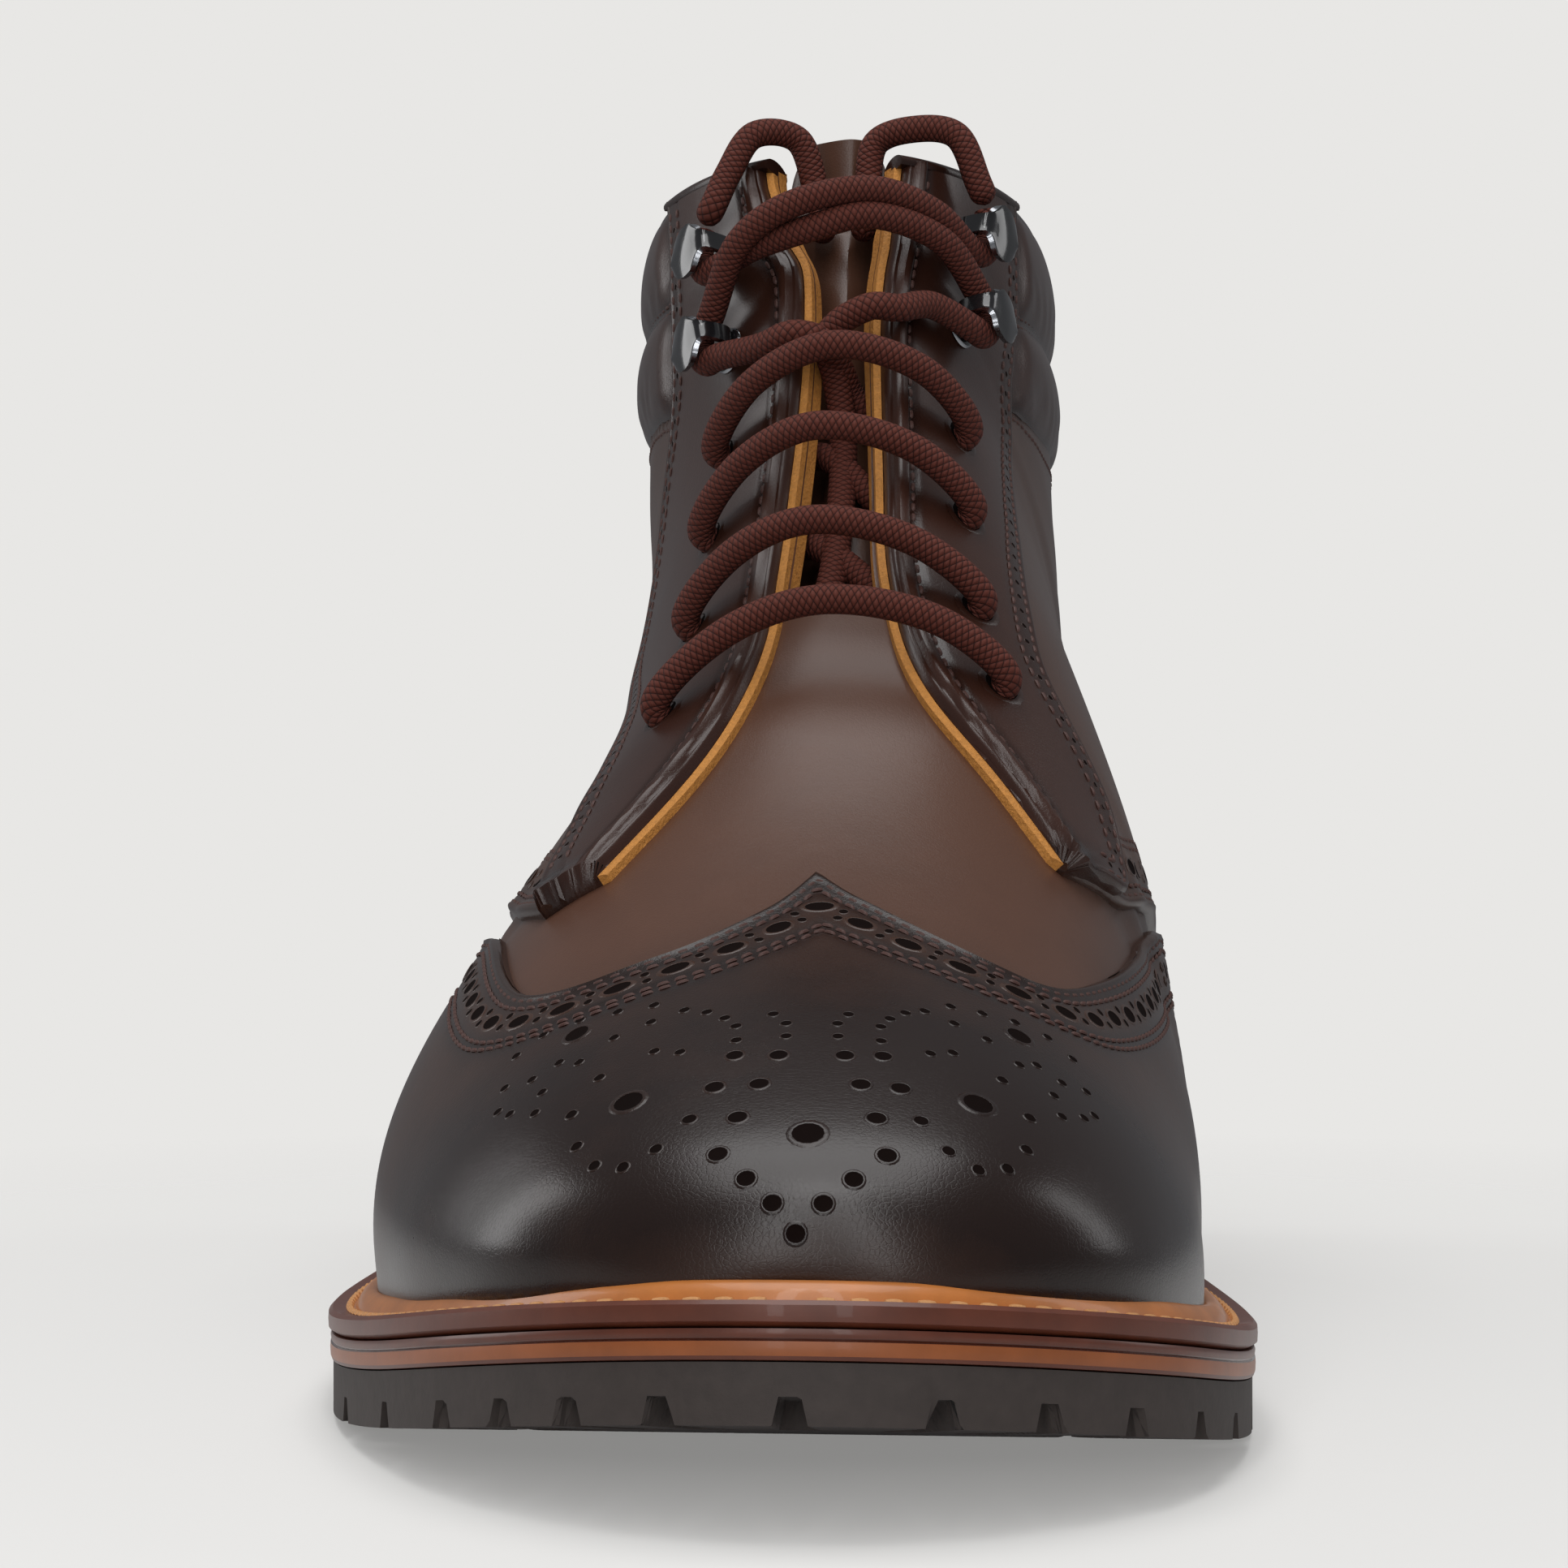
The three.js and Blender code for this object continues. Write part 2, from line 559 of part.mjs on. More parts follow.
function collarPad() {
  const low = -leather - padDepth;
  return largest(sheet([collarGrid(-1, low), collarGrid(1, low)], 0, 0).subtract(around(-6, -leather)));
}
const collarRoom = (sign) => sheet([collarGrid(sign, -cutReach, cutReach, 0.01)], 0, 0);

// Quarters and facings
function quarter(sign) {
  const first = (sign < 0 ? lateralEdges : medialEdges)[0].row;
  const rows = [first, first + 0.25, 11.3, 12.4, 13.4, 14.4, 15.2, 16.8, 18.4, 19, 20.6, 22.4, topEdge];
  const to = (v) => v < 18.5 ? edges[sign].low(v) : 0.994;
  const cutter = region(rows, edges[sign].front, to, sign, 9);
  return largest(overVamp.intersect(cutter)).subtract(collarRoom(sign)).subtract(holes);
}
function facing(sign) {
  const first = (sign < 0 ? lateralEdges : medialEdges)[0].row;
  const rows = [first, first + 0.25, 11.3, 12.4, 14, 16, 19, 22, topEdge];
  const cutter = region(rows, edges[sign].front, edges[sign].rear, sign, 3);
  return overQuarter.intersect(cutter).subtract(holes);
}

// Heel counter and back strap
const counterRows = [15.3, 15.8, 16.6, 17.6, 19, 20.2, 21, 21.35];
const strapRows = [21.5, 22, 22.6, 23.2, 23.62];
const strapPlace = 0.955;
function backCutter(rows, from, to) {
  return sheet([-1, 1].map((sign) => rows.map((v) => sided(sign, range(2)).map((f) => {
    return { v, u: sign * mix(from(v), to(v), f) };
  }))), -cutReach, cutReach);
}
function heelCounter() {
  const cutter = backCutter(counterRows, curveOf(counterEdge, 'place'), (v) => v < heelRow ? 1.05 : 1);
  const weltRoom = slab(outline(12), (t) => weltTop(t) - 12, (t) => weltTop(t) + beadHeight + 0.4);
  return largest(overQuarter.intersect(cutter).subtract(weltRoom));
}
const backStrap = () => largest(overQuarter.intersect(backCutter(strapRows, () => strapPlace, () => 1)));

// Tongue: rises from under the vamp's throat to the collar, well below the facings.
const overHeight = facingTop + laceGap + laceRadius;
const underHeight = shellInner - insideGap - laceRadius;
const tongueRows = [10.7, 11, 11.35, 11.7, 12.4, 13.2, 14.2, 15.4, 16.8, 18.5, 20.4, 23, 25.6];
const tongueL = -0.215;
const tongueM = 0.225;
function tongue() {
  const grid = tongueRows.map((v) => range(6).map((f) => {
    const drop = clamp((v - 11) / 0.7);
    const fall = drop * drop * (3 - 2 * drop);
    const deep = mix(shellInner - insideGap, underHeight - laceRadius - insideGap, fall);
    const u = mix(tongueL, tongueM, f) * mix(0.8, 1, clamp((v - 11) / 3));
    return { v, u, high: deep, low: deep - tongueThickness };
  }));
  return sheet([grid], 0, 0);
}

// Sole
// Points of the feather line moved outwards, as pairs across the boot from toe to heel.
const soleStations = range(20);
function outline(moved) {
  const amount = (w) => typeof moved === 'function' ? moved(featherT(w)) : moved;
  const side = (w, curve, sign) => {
    const [a, b] = [clamp(w - 0.002), clamp(w + 0.002)];
    const ahead = new THREE.Vector2(curve(b) - curve(a), featherT(b) - featherT(a)).normalize();
    return { x: curve(w) + sign * ahead.y * amount(w), t: featherT(w) - sign * ahead.x * amount(w) };
  };
  return soleStations.map((w) => {
    if (w > 0 && w < 1) return { left: side(w, featherL, -1), right: side(w, featherM, 1) };
    const tip = { x: featherL(w), t: featherT(w) + (w ? amount(w) : -amount(w)) };
    return { left: tip, right: tip };
  });
}
const waistShare = 0.487;
const heelShare = 0.714;
const backward = (t) => clamp((t / soleLength - waistShare) / (heelShare - waistShare));
const toeTip = 30;
const overhang = (t) => mix(weltOverhang, heelOverhang, backward(t)) - 0.7 * Math.max(1 - t / toeTip, 0);
// Slab between two height lines over an outline.
function slab(pairs, bottom, top) {
  const vertex = (p, line) => new THREE.Vector3(p.x, p.t - soleLength / 2, line(p.t));
  return skin(pairs.map(({ left, right }) => [
    vertex(left, bottom), vertex(right, bottom), vertex(right, top), vertex(left, top),
  ]));
}
const midTop = (t) => weltTop(t) - weltThickness;
const rubberTop = (t) => midTop(t) - midsoleThickness - flatGap;
const waistThin = 0.55;
const treadFlat = 0.4;
function ground(t) {
  const thick = rubberThickness * (1 - waistThin * backward(t)) + treadFlat;
  return Math.max(midTop(t) - midsoleThickness - thick, 0);
}
const flat = (z) => () => z;

// Insole and midsole
const insoleInset = wall + leather + layerGap + 2.7;
const insoleFoot = (t) => midTop(t) + layerGap;
const insole = () => slab(outline(-insoleInset), insoleFoot, (t) => insoleFoot(t) + insoleThickness);
const midsole = () => slab(outline((t) => overhang(t) - 0.3), (t) => midTop(t) - midsoleThickness, midTop);

// Welt: a ring beside the upper, with a raised bead along the feather line.
function welt() {
  const rim = outline(overhang);
  const inner = outline(-1.5);
  const foot = (t) => midTop(t) + flatGap;
  const lines = [
    [inner, foot, 0], [rim, foot, 0], [rim, weltTop, 0], [outline(beadWidth), weltTop, 0],
    [outline(0.7 * beadWidth), weltTop, beadHeight], [outline(-0.5), weltTop, beadHeight * 0.8],
  ].map(([pairs, line, raise]) => {
    const left = pairs.map((pair) => pair.left);
    const right = pairs.slice(1, -1).map((pair) => pair.right).reverse();
    return [...left, ...right].map((q) => new THREE.Vector3(q.x, q.t - soleLength / 2, line(q.t) + raise));
  });
  const ring = skin(lines[0].map((_, i) => lines.map((line) => line[i])), true);
  return largest(ring.subtract(around(-6, 0.6)));
}

// Rubber sole with notches round its edge and grooves between inner studs
// Strip in plan from one point towards another, between two height lines.
function strip(from, to, width, bottom, top) {
  const ahead = new THREE.Vector2(to[0] - from[0], to[1] - from[1]).normalize().multiplyScalar(width / 2);
  const [dx, dt] = [-ahead.y, ahead.x];
  const plan = [
    [from[0] - dx, from[1] - dt], [to[0] - dx, to[1] - dt],
    [to[0] + dx, to[1] + dt], [from[0] + dx, from[1] + dt],
  ];
  const ring = (line) => plan.map(([x, t]) => new THREE.Vector3(x, t - soleLength / 2, line(t)));
  return skin([ring(bottom), ring(top)]);
}
const soleRim = () => outline((t) => overhang(t) - 0.6);
const heelBreast = soleLength - heelLength;
const breast = soleRim().findIndex((pair) => pair.left.t > heelBreast);
const notchReach = 7;
const notchOut = 10;
function edgeNotch({ station, side, width }, low, high) {
  const curve = side < 0 ? featherL : featherM;
  const [a, b] = [clamp(station - 0.004), clamp(station + 0.004)];
  const ahead = new THREE.Vector2(curve(b) - curve(a), featherT(b) - featherT(a)).normalize();
  const out = station === 0 ? [0, -1] : [side * ahead.y, -side * ahead.x];
  const foot = [curve(station), featherT(station)];
  const far = foot.map((n, i) => n + out[i] * notchOut);
  const near = foot.map((n, i) => n - out[i] * notchReach);
  return strip(near, far, width, low, high);
}
const soleNotches = [
  { station: 0, side: 1, width: 5 },
  { station: 0.055, side: -1, width: 3 },
  { station: 0.1, side: -1, width: 3 },
  { station: 0.14, side: -1, width: 3 },
  { station: 0.18, side: -1, width: 3 },
  { station: 0.235, side: -1, width: 3 },
  { station: 0.295, side: -1, width: 3.4 },
  { station: 0.36, side: -1, width: 3.4 },
  { station: 0.425, side: -1, width: 3.4 },
  { station: 0.062, side: 1, width: 3 },
  { station: 0.11, side: 1, width: 3 },
  { station: 0.155, side: 1, width: 3 },
  { station: 0.2, side: 1, width: 3 },
  { station: 0.25, side: 1, width: 3 },
  { station: 0.31, side: 1, width: 3.4 },
  { station: 0.37, side: 1, width: 3.4 },
  { station: 0.43, side: 1, width: 3.4 },
];
const heelNotches = [
  { station: 0.76, side: -1, width: 3.4 },
  { station: 0.83, side: -1, width: 3.4 },
  { station: 0.9, side: -1, width: 3.4 },
  { station: 0.96, side: -1, width: 3.4 },
  { station: 0.76, side: 1, width: 3.4 },
  { station: 0.83, side: 1, width: 3.4 },
  { station: 0.9, side: 1, width: 3.4 },
  { station: 0.96, side: 1, width: 3.4 },
];
// Grooves between the studs: shares of the ball's width and of the sole's length.
const studGrooves = [
  { from: [-212, 110], to: [346, 110] },
  { from: [-327, 182], to: [385, 182] },
  { from: [-385, 260], to: [394, 260] },
  { from: [-385, 442], to: [346, 442] },
  { from: [-192, 84], to: [-365, 247] },
  { from: [327, 84], to: [394, 247] },
  { from: [-163, 260], to: [-163, 442] },
  { from: [163, 260], to: [163, 442] },
];
const grooveWidth = 3.2;
const heelGroove = [{ from: [-231, 851], to: [173, 851] }];
function grooves(table, low, high) {
  const plan = ([x, t]) => [x * share * ballWidth, t * share * soleLength];
  return Manifold.union(table.map(({ from, to }) => strip(plan(from), plan(to), grooveWidth, low, high)));
}
function notches(table, low, high) {
  return Manifold.union(table.map((row) => edgeNotch(row, low, high)));
}
function outsole() {
  const low = (t) => ground(t) - lugDepth;
  const high = (t) => ground(t) + lugDepth;
  return slab(soleRim().slice(0, breast), ground, rubberTop)
    .subtract(notches(soleNotches, low, high)).subtract(grooves(studGrooves, low, high));
}
function heelTopPiece() {
  const [low, high] = [flat(-lugDepth), flat(lugDepth)];
  return slab(soleRim().slice(breast), flat(0), flat(topPieceHeight))
    .subtract(notches(heelNotches, low, high)).subtract(grooves(heelGroove, low, high));
}
function heelStack() {
  const rim = outline((t) => overhang(t) - 1).slice(breast);
  return slab(rim, flat(topPieceHeight + flatGap), rubberTop);
}

// Speed hook: a base plate, a neck on the throat side and a flared lip over the lace
const plateFoot = facingTop + 0.25;
const hookLaceHeight = plateFoot + hookMetal + 0.65 + laceRadius;
const lipFoot = hookLaceHeight + laceRadius + 0.6;
const neckShift = -1.6;
function hook(place) {
  const plate = post(place, plateFoot, plateFoot + hookMetal, hookPlate, 8);
  const neck = post(place, plateFoot + 0.5, lipFoot + 0.3, neckRadius, 6, neckShift);
  const lip = post(place, lipFoot, lipFoot + hookMetal + 0.2, hookLip, 8, 0.4);
  return Manifold.union([plate, neck, lip]);
}

// Lace
const spot = Object.fromEntries([...eyelets, ...hooks].map((row) => [row.name, row]));
const under = (v, u, deeper = 0) => at(v, u, underHeight - deeper);
const over = (v, u, higher = 0.3) => at(v, u, overHeight + higher);
// Lace through a hole, from under the facing to over it or back.
function throughHole({ v, u }, upward) {
  const points = [under(v, u, -1.2), at(v, u, shellOuter + 0.5), at(v, u, overHeight - 1)];
  return upward ? points : points.reverse();
}
const barLift = 0.6;
const barArch = 2.2;
const barBow = 0.22;
function bar(row) {
  const a = spot[`row_${row}_lateral`];
  const b = spot[`row_${row}_medial`];
  const arch = [0.22, 0.5, 0.78].map((f) => {
    const crown = Math.sin(f * Math.PI);
    return over(mix(a.v, b.v, f) + barBow * crown, mix(a.u, b.u, f), barLift + barArch * crown);
  });
  return [...throughHole(a, true), ...arch, ...throughHole(b, false)];
}
const diagonal = (a, b) => [0.3, 0.7].map((f) => under(mix(a.v, b.v, f), mix(a.u, b.u, f)));
// Turns round a hook's neck from its lower side: angle in degrees, and how far out.
const neckReach = neckRadius + laceRadius + 0.35;
const turns = {
  back: [[-90, 0], [-45, 0], [0, 0], [45, 0], [90, 0]],
  up: [[-90, 0], [-45, 0], [0, 0], [38, 0.3], [61, 1.4]],
};
const wrap = ({ v, u }, turn) => turns[turn].map(([angle, outwards]) => {
  const turned = THREE.MathUtils.degToRad(angle);
  const reach = neckReach + outwards;
  return at(v, u, hookLaceHeight, neckShift + reach * Math.cos(turned), reach * Math.sin(turned));
});
// One lace from the upper lateral hook's top, down the rows and back to the medial one's
const lacePlan = [
  wrap(spot.hook_upper_lateral, 'up').reverse(),
  [at(19.55, -0.11, 5.4), at(19.3, -0.035, 5.6), at(19.95, 0.035, 6), at(20.1, 0.13, 6)],
  wrap(spot.hook_lower_medial, 'back').reverse(),
  [over(17.5, 0.12, 0.4), over(16.95, 0.072, 0.4), over(16.8, 0.036)],
  [at(16.5, -0.02, 1), at(16.1, -0.024, -4)],
  [under(15.5, -0.02), under(14.4, -0.024), under(13.4, -0.045), under(12.7, -0.1, 0.6)],
  bar(1), diagonal(spot.row_1_medial, spot.row_2_lateral),
  bar(2), diagonal(spot.row_2_medial, spot.row_3_lateral),
  bar(3), diagonal(spot.row_3_medial, spot.row_4_lateral),
  bar(4),
  [under(15.9, 0.11), under(16.1, 0.035, 0.1), at(16.25, -0.01, -3), at(16.35, -0.025, 1.6)],
  [over(16.42, -0.055), over(16.5, -0.1)],
  wrap(spot.hook_lower_lateral, 'back'),
  [at(19.3, -0.105, 8.6), at(20, -0.05, 9), at(20.9, 0.035, 7.5), at(21.3, 0.12, 6.5)],
  wrap(spot.hook_upper_medial, 'up'),
];
const laceSteps = 96;
const runSteps = 24;
// Runs of tube that share their ends, joined into one solid.
function lace() {
  const path = new THREE.CatmullRomCurve3(lacePlan.flat(), false, 'centripetal');
  const points = path.getPoints(laceSteps);
  const runs = range(laceSteps / runSteps).slice(0, -1).map((f) => {
    const start = Math.round(f * laceSteps);
    return points.slice(Math.max(start - 1, 0), start + runSteps + 1);
  });
  return Manifold.union(runs.map((run) => tube(run, laceRadius, 5, run.length - 1)));
}
// Free ends from the upper hooks over the collar's edge to the inside.
const lateralEnd = [
  at(20.64, -0.176, hookLaceHeight, 0.4, 6.4), at(22.4, -0.176, 5.4), at(24.2, -0.16, 5),
  at(25, -0.14, 2.6, 0, 4.6), at(25, -0.1, -2.6, 0, 4.6), at(24.3, -0.072, -5.6),
  at(23, -0.06, -6.3), at(21.4, -0.058, -6.4),
];
const medialEnd = [
  at(22.09, 0.212, hookLaceHeight, 0.5, 5.5), at(24.3, 0.213, 5.4), at(25, 0.19, 3.6, 0, 5),
  at(25, 0.155, -1, 0, 6.2), at(25, 0.095, -5.4, 0, 4.4), at(24, 0.078, -6.3),
  at(23, 0.072, -6.3), at(21.4, 0.07, -6.4),
];
const endSteps = 14;
const laceEnd = (points) => tube(points, laceRadius, 8, endSteps);

// Parts
const group = new THREE.Group();
group.name = 'brogue_boot';
group.position.x = -(Math.min(...feather.map((row) => row.lateral))
  + Math.max(...feather.map((row) => row.medial))) / 2 * share * ballWidth;
function add(name, body, color, roughness = 0.5, metalness = 0) {
  const mesh = body.getMesh();
  const geometry = new THREE.BufferGeometry();
  geometry.setAttribute('position', new THREE.BufferAttribute(new Float32Array(mesh.vertProperties), 3));
  geometry.setIndex(new THREE.BufferAttribute(new Uint32Array(mesh.triVerts), 1));
  geometry.computeVertexNormals();
  const part = new THREE.Mesh(geometry, new THREE.MeshStandardMaterial({ color, roughness, metalness }));
  part.name = name;
  group.add(part);
}
add('outsole', outsole(), '#2b2523', 0.8);
add('heel_top_piece', heelTopPiece(), '#2b2523', 0.8);
add('heel_stack', heelStack(), '#4a1f14', 0.35);
add('midsole', midsole(), '#7a3a22', 0.35);
add('welt', welt(), '#5a2c1a', 0.4);
add('insole', insole(), '#b98a5c', 0.8);
add('upper', upper(), '#5b3220');
add('wing_cap', wingCap(), '#33201a');
add('quarter_lateral', quarter(-1), '#4a2b1e');
add('quarter_medial', quarter(1), '#4a2b1e');
add('facing_lateral', facing(-1), '#42261b');
add('facing_medial', facing(1), '#42261b');
add('heel_counter', heelCounter(), '#3a221a');
add('back_strap', backStrap(), '#3a221a');
add('collar_pad', collarPad(), '#3d2620');
add('tongue', tongue(), '#5e3a28');
for (const row of hooks) add(row.name, hook(row), '#1d1c1e', 0.2, 0.9);
add('lace', lace(), '#4a2620', 0.9);
add('lace_end_lateral', laceEnd(lateralEnd), '#4a2620', 0.9);
add('lace_end_medial', laceEnd(medialEnd), '#4a2620', 0.9);

export default group;
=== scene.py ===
"""Brogue boot, wearer's right, dressed over its fixed frame: toe towards -Y, medial side
towards +X, +Z up. Shapes are worked out in millimetres and written to the meshes in metres."""
import math

import bpy
import numpy as np
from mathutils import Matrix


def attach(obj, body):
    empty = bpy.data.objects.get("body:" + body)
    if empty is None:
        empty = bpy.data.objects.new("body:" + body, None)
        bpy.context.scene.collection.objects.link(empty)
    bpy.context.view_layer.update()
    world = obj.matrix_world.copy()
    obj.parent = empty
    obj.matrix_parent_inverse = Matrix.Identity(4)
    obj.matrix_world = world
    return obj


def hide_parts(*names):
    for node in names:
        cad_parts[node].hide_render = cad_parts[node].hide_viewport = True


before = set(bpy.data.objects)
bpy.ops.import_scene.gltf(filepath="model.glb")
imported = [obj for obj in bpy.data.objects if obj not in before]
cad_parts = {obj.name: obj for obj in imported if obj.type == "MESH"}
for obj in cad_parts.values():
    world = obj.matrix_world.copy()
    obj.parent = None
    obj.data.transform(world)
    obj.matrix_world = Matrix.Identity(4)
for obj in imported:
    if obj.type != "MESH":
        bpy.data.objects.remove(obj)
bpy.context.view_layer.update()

# Driving sizes in millimetres, as in the frame's own part
SOLE_LENGTH = 308.0
BALL_WIDTH = 104.0
UPPER_HEIGHT = 152.0
HEEL_RISE = 21.2
TOE_SPRING = 13.0
TOP_PIECE = 11.0
WELT = 2.8
WELT_OVERHANG = 6.4
HEEL_OVERHANG = 4.2
BEAD_HEIGHT = 2.3
BEAD_WIDTH = 3.0
MIDSOLE = 3.4
RUBBER = 6.2
WAIST_THIN = 0.55
TREAD_FLAT = 0.4
LUG = 3.0
LEATHER = 1.2
WALL = 2.0
LACE_DIAMETER = 4.0
LAYER_GAP = 0.3
SEAT_GAP = 1.3
LACE_GAP = 0.45
INSIDE_GAP = 1.4
SHARE = 0.001  # one step of the tables, as a share of a driving size
MM = 0.001  # one millimetre in metres

# Heights over the upper's surface
SHELL_OUTER = -LAYER_GAP - LEATHER
SHELL_INNER = SHELL_OUTER - WALL
FACING_TOP = LAYER_GAP + LEATHER
LACE_RADIUS = LACE_DIAMETER / 2
OVER_HEIGHT = FACING_TOP + LACE_GAP + LACE_RADIUS
UNDER_HEIGHT = SHELL_INNER - INSIDE_GAP - LACE_RADIUS


# Interpolation
def curve(xs, ys, unit=1.0):
    """Natural cubic through (xs, ys * unit), flat past both ends."""
    xs, ys = np.array(xs, float), np.array(ys, float) * unit
    count, h = len(xs), np.diff(xs)
    matrix, slope = np.eye(count), np.diff(ys) / h
    right = np.zeros(count)
    for i in range(1, count - 1):
        matrix[i, i - 1:i + 2] = h[i - 1], 2 * (h[i - 1] + h[i]), h[i]
        right[i] = 6 * (slope[i] - slope[i - 1])
    bend = np.linalg.solve(matrix, right)

    def at_x(x):
        x = np.clip(x, xs[0], xs[-1])
        i = np.clip(np.searchsorted(xs, x, side="right") - 1, 0, count - 2)
        a, b = (xs[i + 1] - x) / h[i], (x - xs[i]) / h[i]
        lift = ((a ** 3 - a) * bend[i] + (b ** 3 - b) * bend[i + 1]) * h[i] ** 2 / 6
        return a * ys[i] + b * ys[i + 1] + lift
    return at_x


def mix(a, b, f):
    """a plus the share f of the way from a to b."""
    return a + (b - a) * f


def smooth(x, low, high):
    """Soft step from 0 at low to 1 at high: three times the square less twice the cube."""
    f = np.clip((x - low) / (high - low), 0, 1)
    return f * f * (3 - 2 * f)


# Tables, in thousandths: the welt's top along the sole, the feather line's two sides at even
# stations, the upper's sections from toe to collar, and its back seam.
WELT_LINE = {
    "t": [0, 65, 130, 195, 260, 318, 416, 487, 584, 666, 731, 812, 909, 1006],
    "spring": [1000, 708, 438, 223, 77, 0, 0, 0, 0, 0, 0, 0, 0, 0],
    "rise": [0, 0, 0, 0, 0, 0, 0, 104, 368, 642, 821, 925, 972, 1000],
}
FEATHER = {
    "lateral": [77, -53, -168, -277, -371, -452, -504, -512, -464, -404, -373, -367, -362, -333,
        -262, -157, -29],
    "medial": [77, 207, 322, 417, 469, 494, 492, 456, 381, 315, 296, 302, 302, 275, 205, 99, -29],
}
SECTIONS = {
    "t": [2, 0, 1, 9, 23, 45, 76, 115, 162, 209, 256, 303, 347, 384, 417, 446, 469, 486, 496, 503,
        508, 513, 518, 522, 526, 529],
    "rise": [14, 31, 57, 88, 119, 153, 194, 241, 292, 343, 400, 469, 545, 614, 684, 752, 816, 867,
        901, 921, 938, 955, 970, 984, 995, 1008],
    "x": [77, 77, 78, 80, 83, 84, 80, 71, 62, 52, 44, 38, 34, 31, 29, 28, 27, 26, 25, 25, 24, 24,
        24, 24, 24, 24],
    "station": [0, 0.055, 0.1, 0.135, 0.17, 0.205, 0.245, 0.285, 0.325, 0.365, 0.405, 0.445, 0.49,
        0.54, 0.6, 0.67, 0.75, 0.84, 0.92, 1, 1, 1, 1, 1, 1, 1],
    "wide_l": [77, -48, -130, -202, -264, -317, -375, -423, -466, -495, -505, -500, -471, -428,
        -389, -361, -337, -322, -312, -303, -312, -312, -312, -312, -308, -308],
    "wide_m": [77, 202, 288, 351, 404, 442, 471, 490, 495, 495, 500, 495, 481, 462, 428, 389, 356,
        332, 322, 312, 312, 303, 298, 293, 288, 284],
    "wide_at": [0.92, 0.92, 0.92, 0.91, 0.9, 0.89, 0.88, 0.86, 0.84, 0.82, 0.82, 0.82, 0.8, 0.78,
        0.74, 0.7, 0.64, 0.58, 0.53, 0.48, 0.47, 0.47, 0.46, 0.47, 0.48, 0.49],
    "round_l": [2, 2.05, 2.1, 2.1, 2.15, 2.15, 2.15, 2.1, 2.1, 2.1, 2.05, 1.9, 1.75, 1.65, 1.6,
        1.65, 1.75, 1.9, 2, 2.05, 2.05, 2.05, 2.05, 2, 2, 1.95],
    "round_m": [2, 2.05, 2.1, 2.1, 2.15, 2.15, 2.15, 2.1, 2.1, 2.15, 2.2, 2.2, 2.3, 2.3, 2.2, 2.1,
        2, 1.95, 1.95, 1.95, 1.95, 1.95, 2, 2, 2, 2],
}
REAR_ROUND = {"row": [0, 15, 16, 17, 18, 19, 20, 25], "round": [1, 1, 1, 1.15, 1.5, 2, 2.1, 2.1]}
SEAM = {
    "row": [19, 20, 21, 22, 23, 24, 25],
    "t": [0, 5, 1, -12, -27, -39, -45],
    "rise": [0, 99, 230, 376, 528, 673, 824],
    "x": [-29, -29, -27, -24, -20, -17, -15],
}
WING = {
    "place": [0, 0.025, 0.05, 0.09, 0.14, 0.19, 0.235, 0.262, 0.29, 0.33, 0.377, 0.45, 0.55, 0.7,
        0.85, 1, 1.06],
    "lateral": [9.42, 8.93, 8.64, 8.32, 8.15, 8.09, 8.27, 8.7, 9.7, 10.7, 11.4, 12.4, 13.35, 14.15,
        14.6, 14.8, 14.85],
    "medial": [9.42, 9.1, 8.89, 8.63, 8.43, 8.36, 8.47, 8.72, 9.12, 9.85, 10.9, 12.2, 13.25, 14.15,
        14.6, 14.8, 14.85],
}
LATERAL = {
    "row": [10.04, 10.5, 11.2, 12, 12.6, 13.4, 14, 14.5, 14.9, 15.2, 16, 18.3, 20, 22, 25.4],
    "front": [0.19, 0.158, 0.117, 0.091, 0.084, 0.087, 0.087, 0.085, 0.081, 0.078, 0.07, 0.061,
        0.082, 0.11, 0.142],
    "rear": [0.252, 0.254, 0.252, 0.253, 0.262, 0.285, 0.31, 0.325, 0.329, 0.332, 0.335, 0.322,
        0.315, 0.32, 0.362],
    "low": [0.252, 0.29, 0.335, 0.39, 0.438, 0.525, 0.62, 0.75, 0.88, 1.06, 1.06, 1.06, 1.06, 1.06,
        1.06],
}
MEDIAL = {
    "row": [10.7, 11, 11.2, 11.6, 12.1, 12.8, 13.4, 14, 14.5, 14.9, 15.2, 17, 19.8, 22, 25.4],
    "front": [0.252, 0.205, 0.176, 0.119, 0.078, 0.058, 0.052, 0.053, 0.056, 0.058, 0.06, 0.07,
        0.087, 0.1, 0.116],
    "rear": [0.26, 0.31, 0.34, 0.338, 0.305, 0.24, 0.23, 0.236, 0.245, 0.254, 0.26, 0.297, 0.323,
        0.357, 0.378],
    "low": [0.26, 0.312, 0.344, 0.385, 0.425, 0.48, 0.54, 0.63, 0.76, 0.89, 1.06, 1.06, 1.06, 1.06,
        1.06],
}
COUNTER = {
    "row": [15.3, 15.8, 16.6, 17.6, 19, 20, 20.7, 21.1, 21.35],
    "place": [1.04, 0.94, 0.84, 0.765, 0.715, 0.735, 0.79, 0.87, 1],
}
EYELETS = {
    "name": ["row_1_lateral", "row_2_lateral", "row_3_lateral", "row_4_lateral", "row_1_medial",
        "row_2_medial", "row_3_medial", "row_4_medial"],
    "v": [12.11, 13.42, 14.68, 15.69, 12.2, 13.12, 14.4, 15.69],
    "u": [-0.18, -0.186, -0.192, -0.182, 0.167, 0.146, 0.155, 0.173],
}
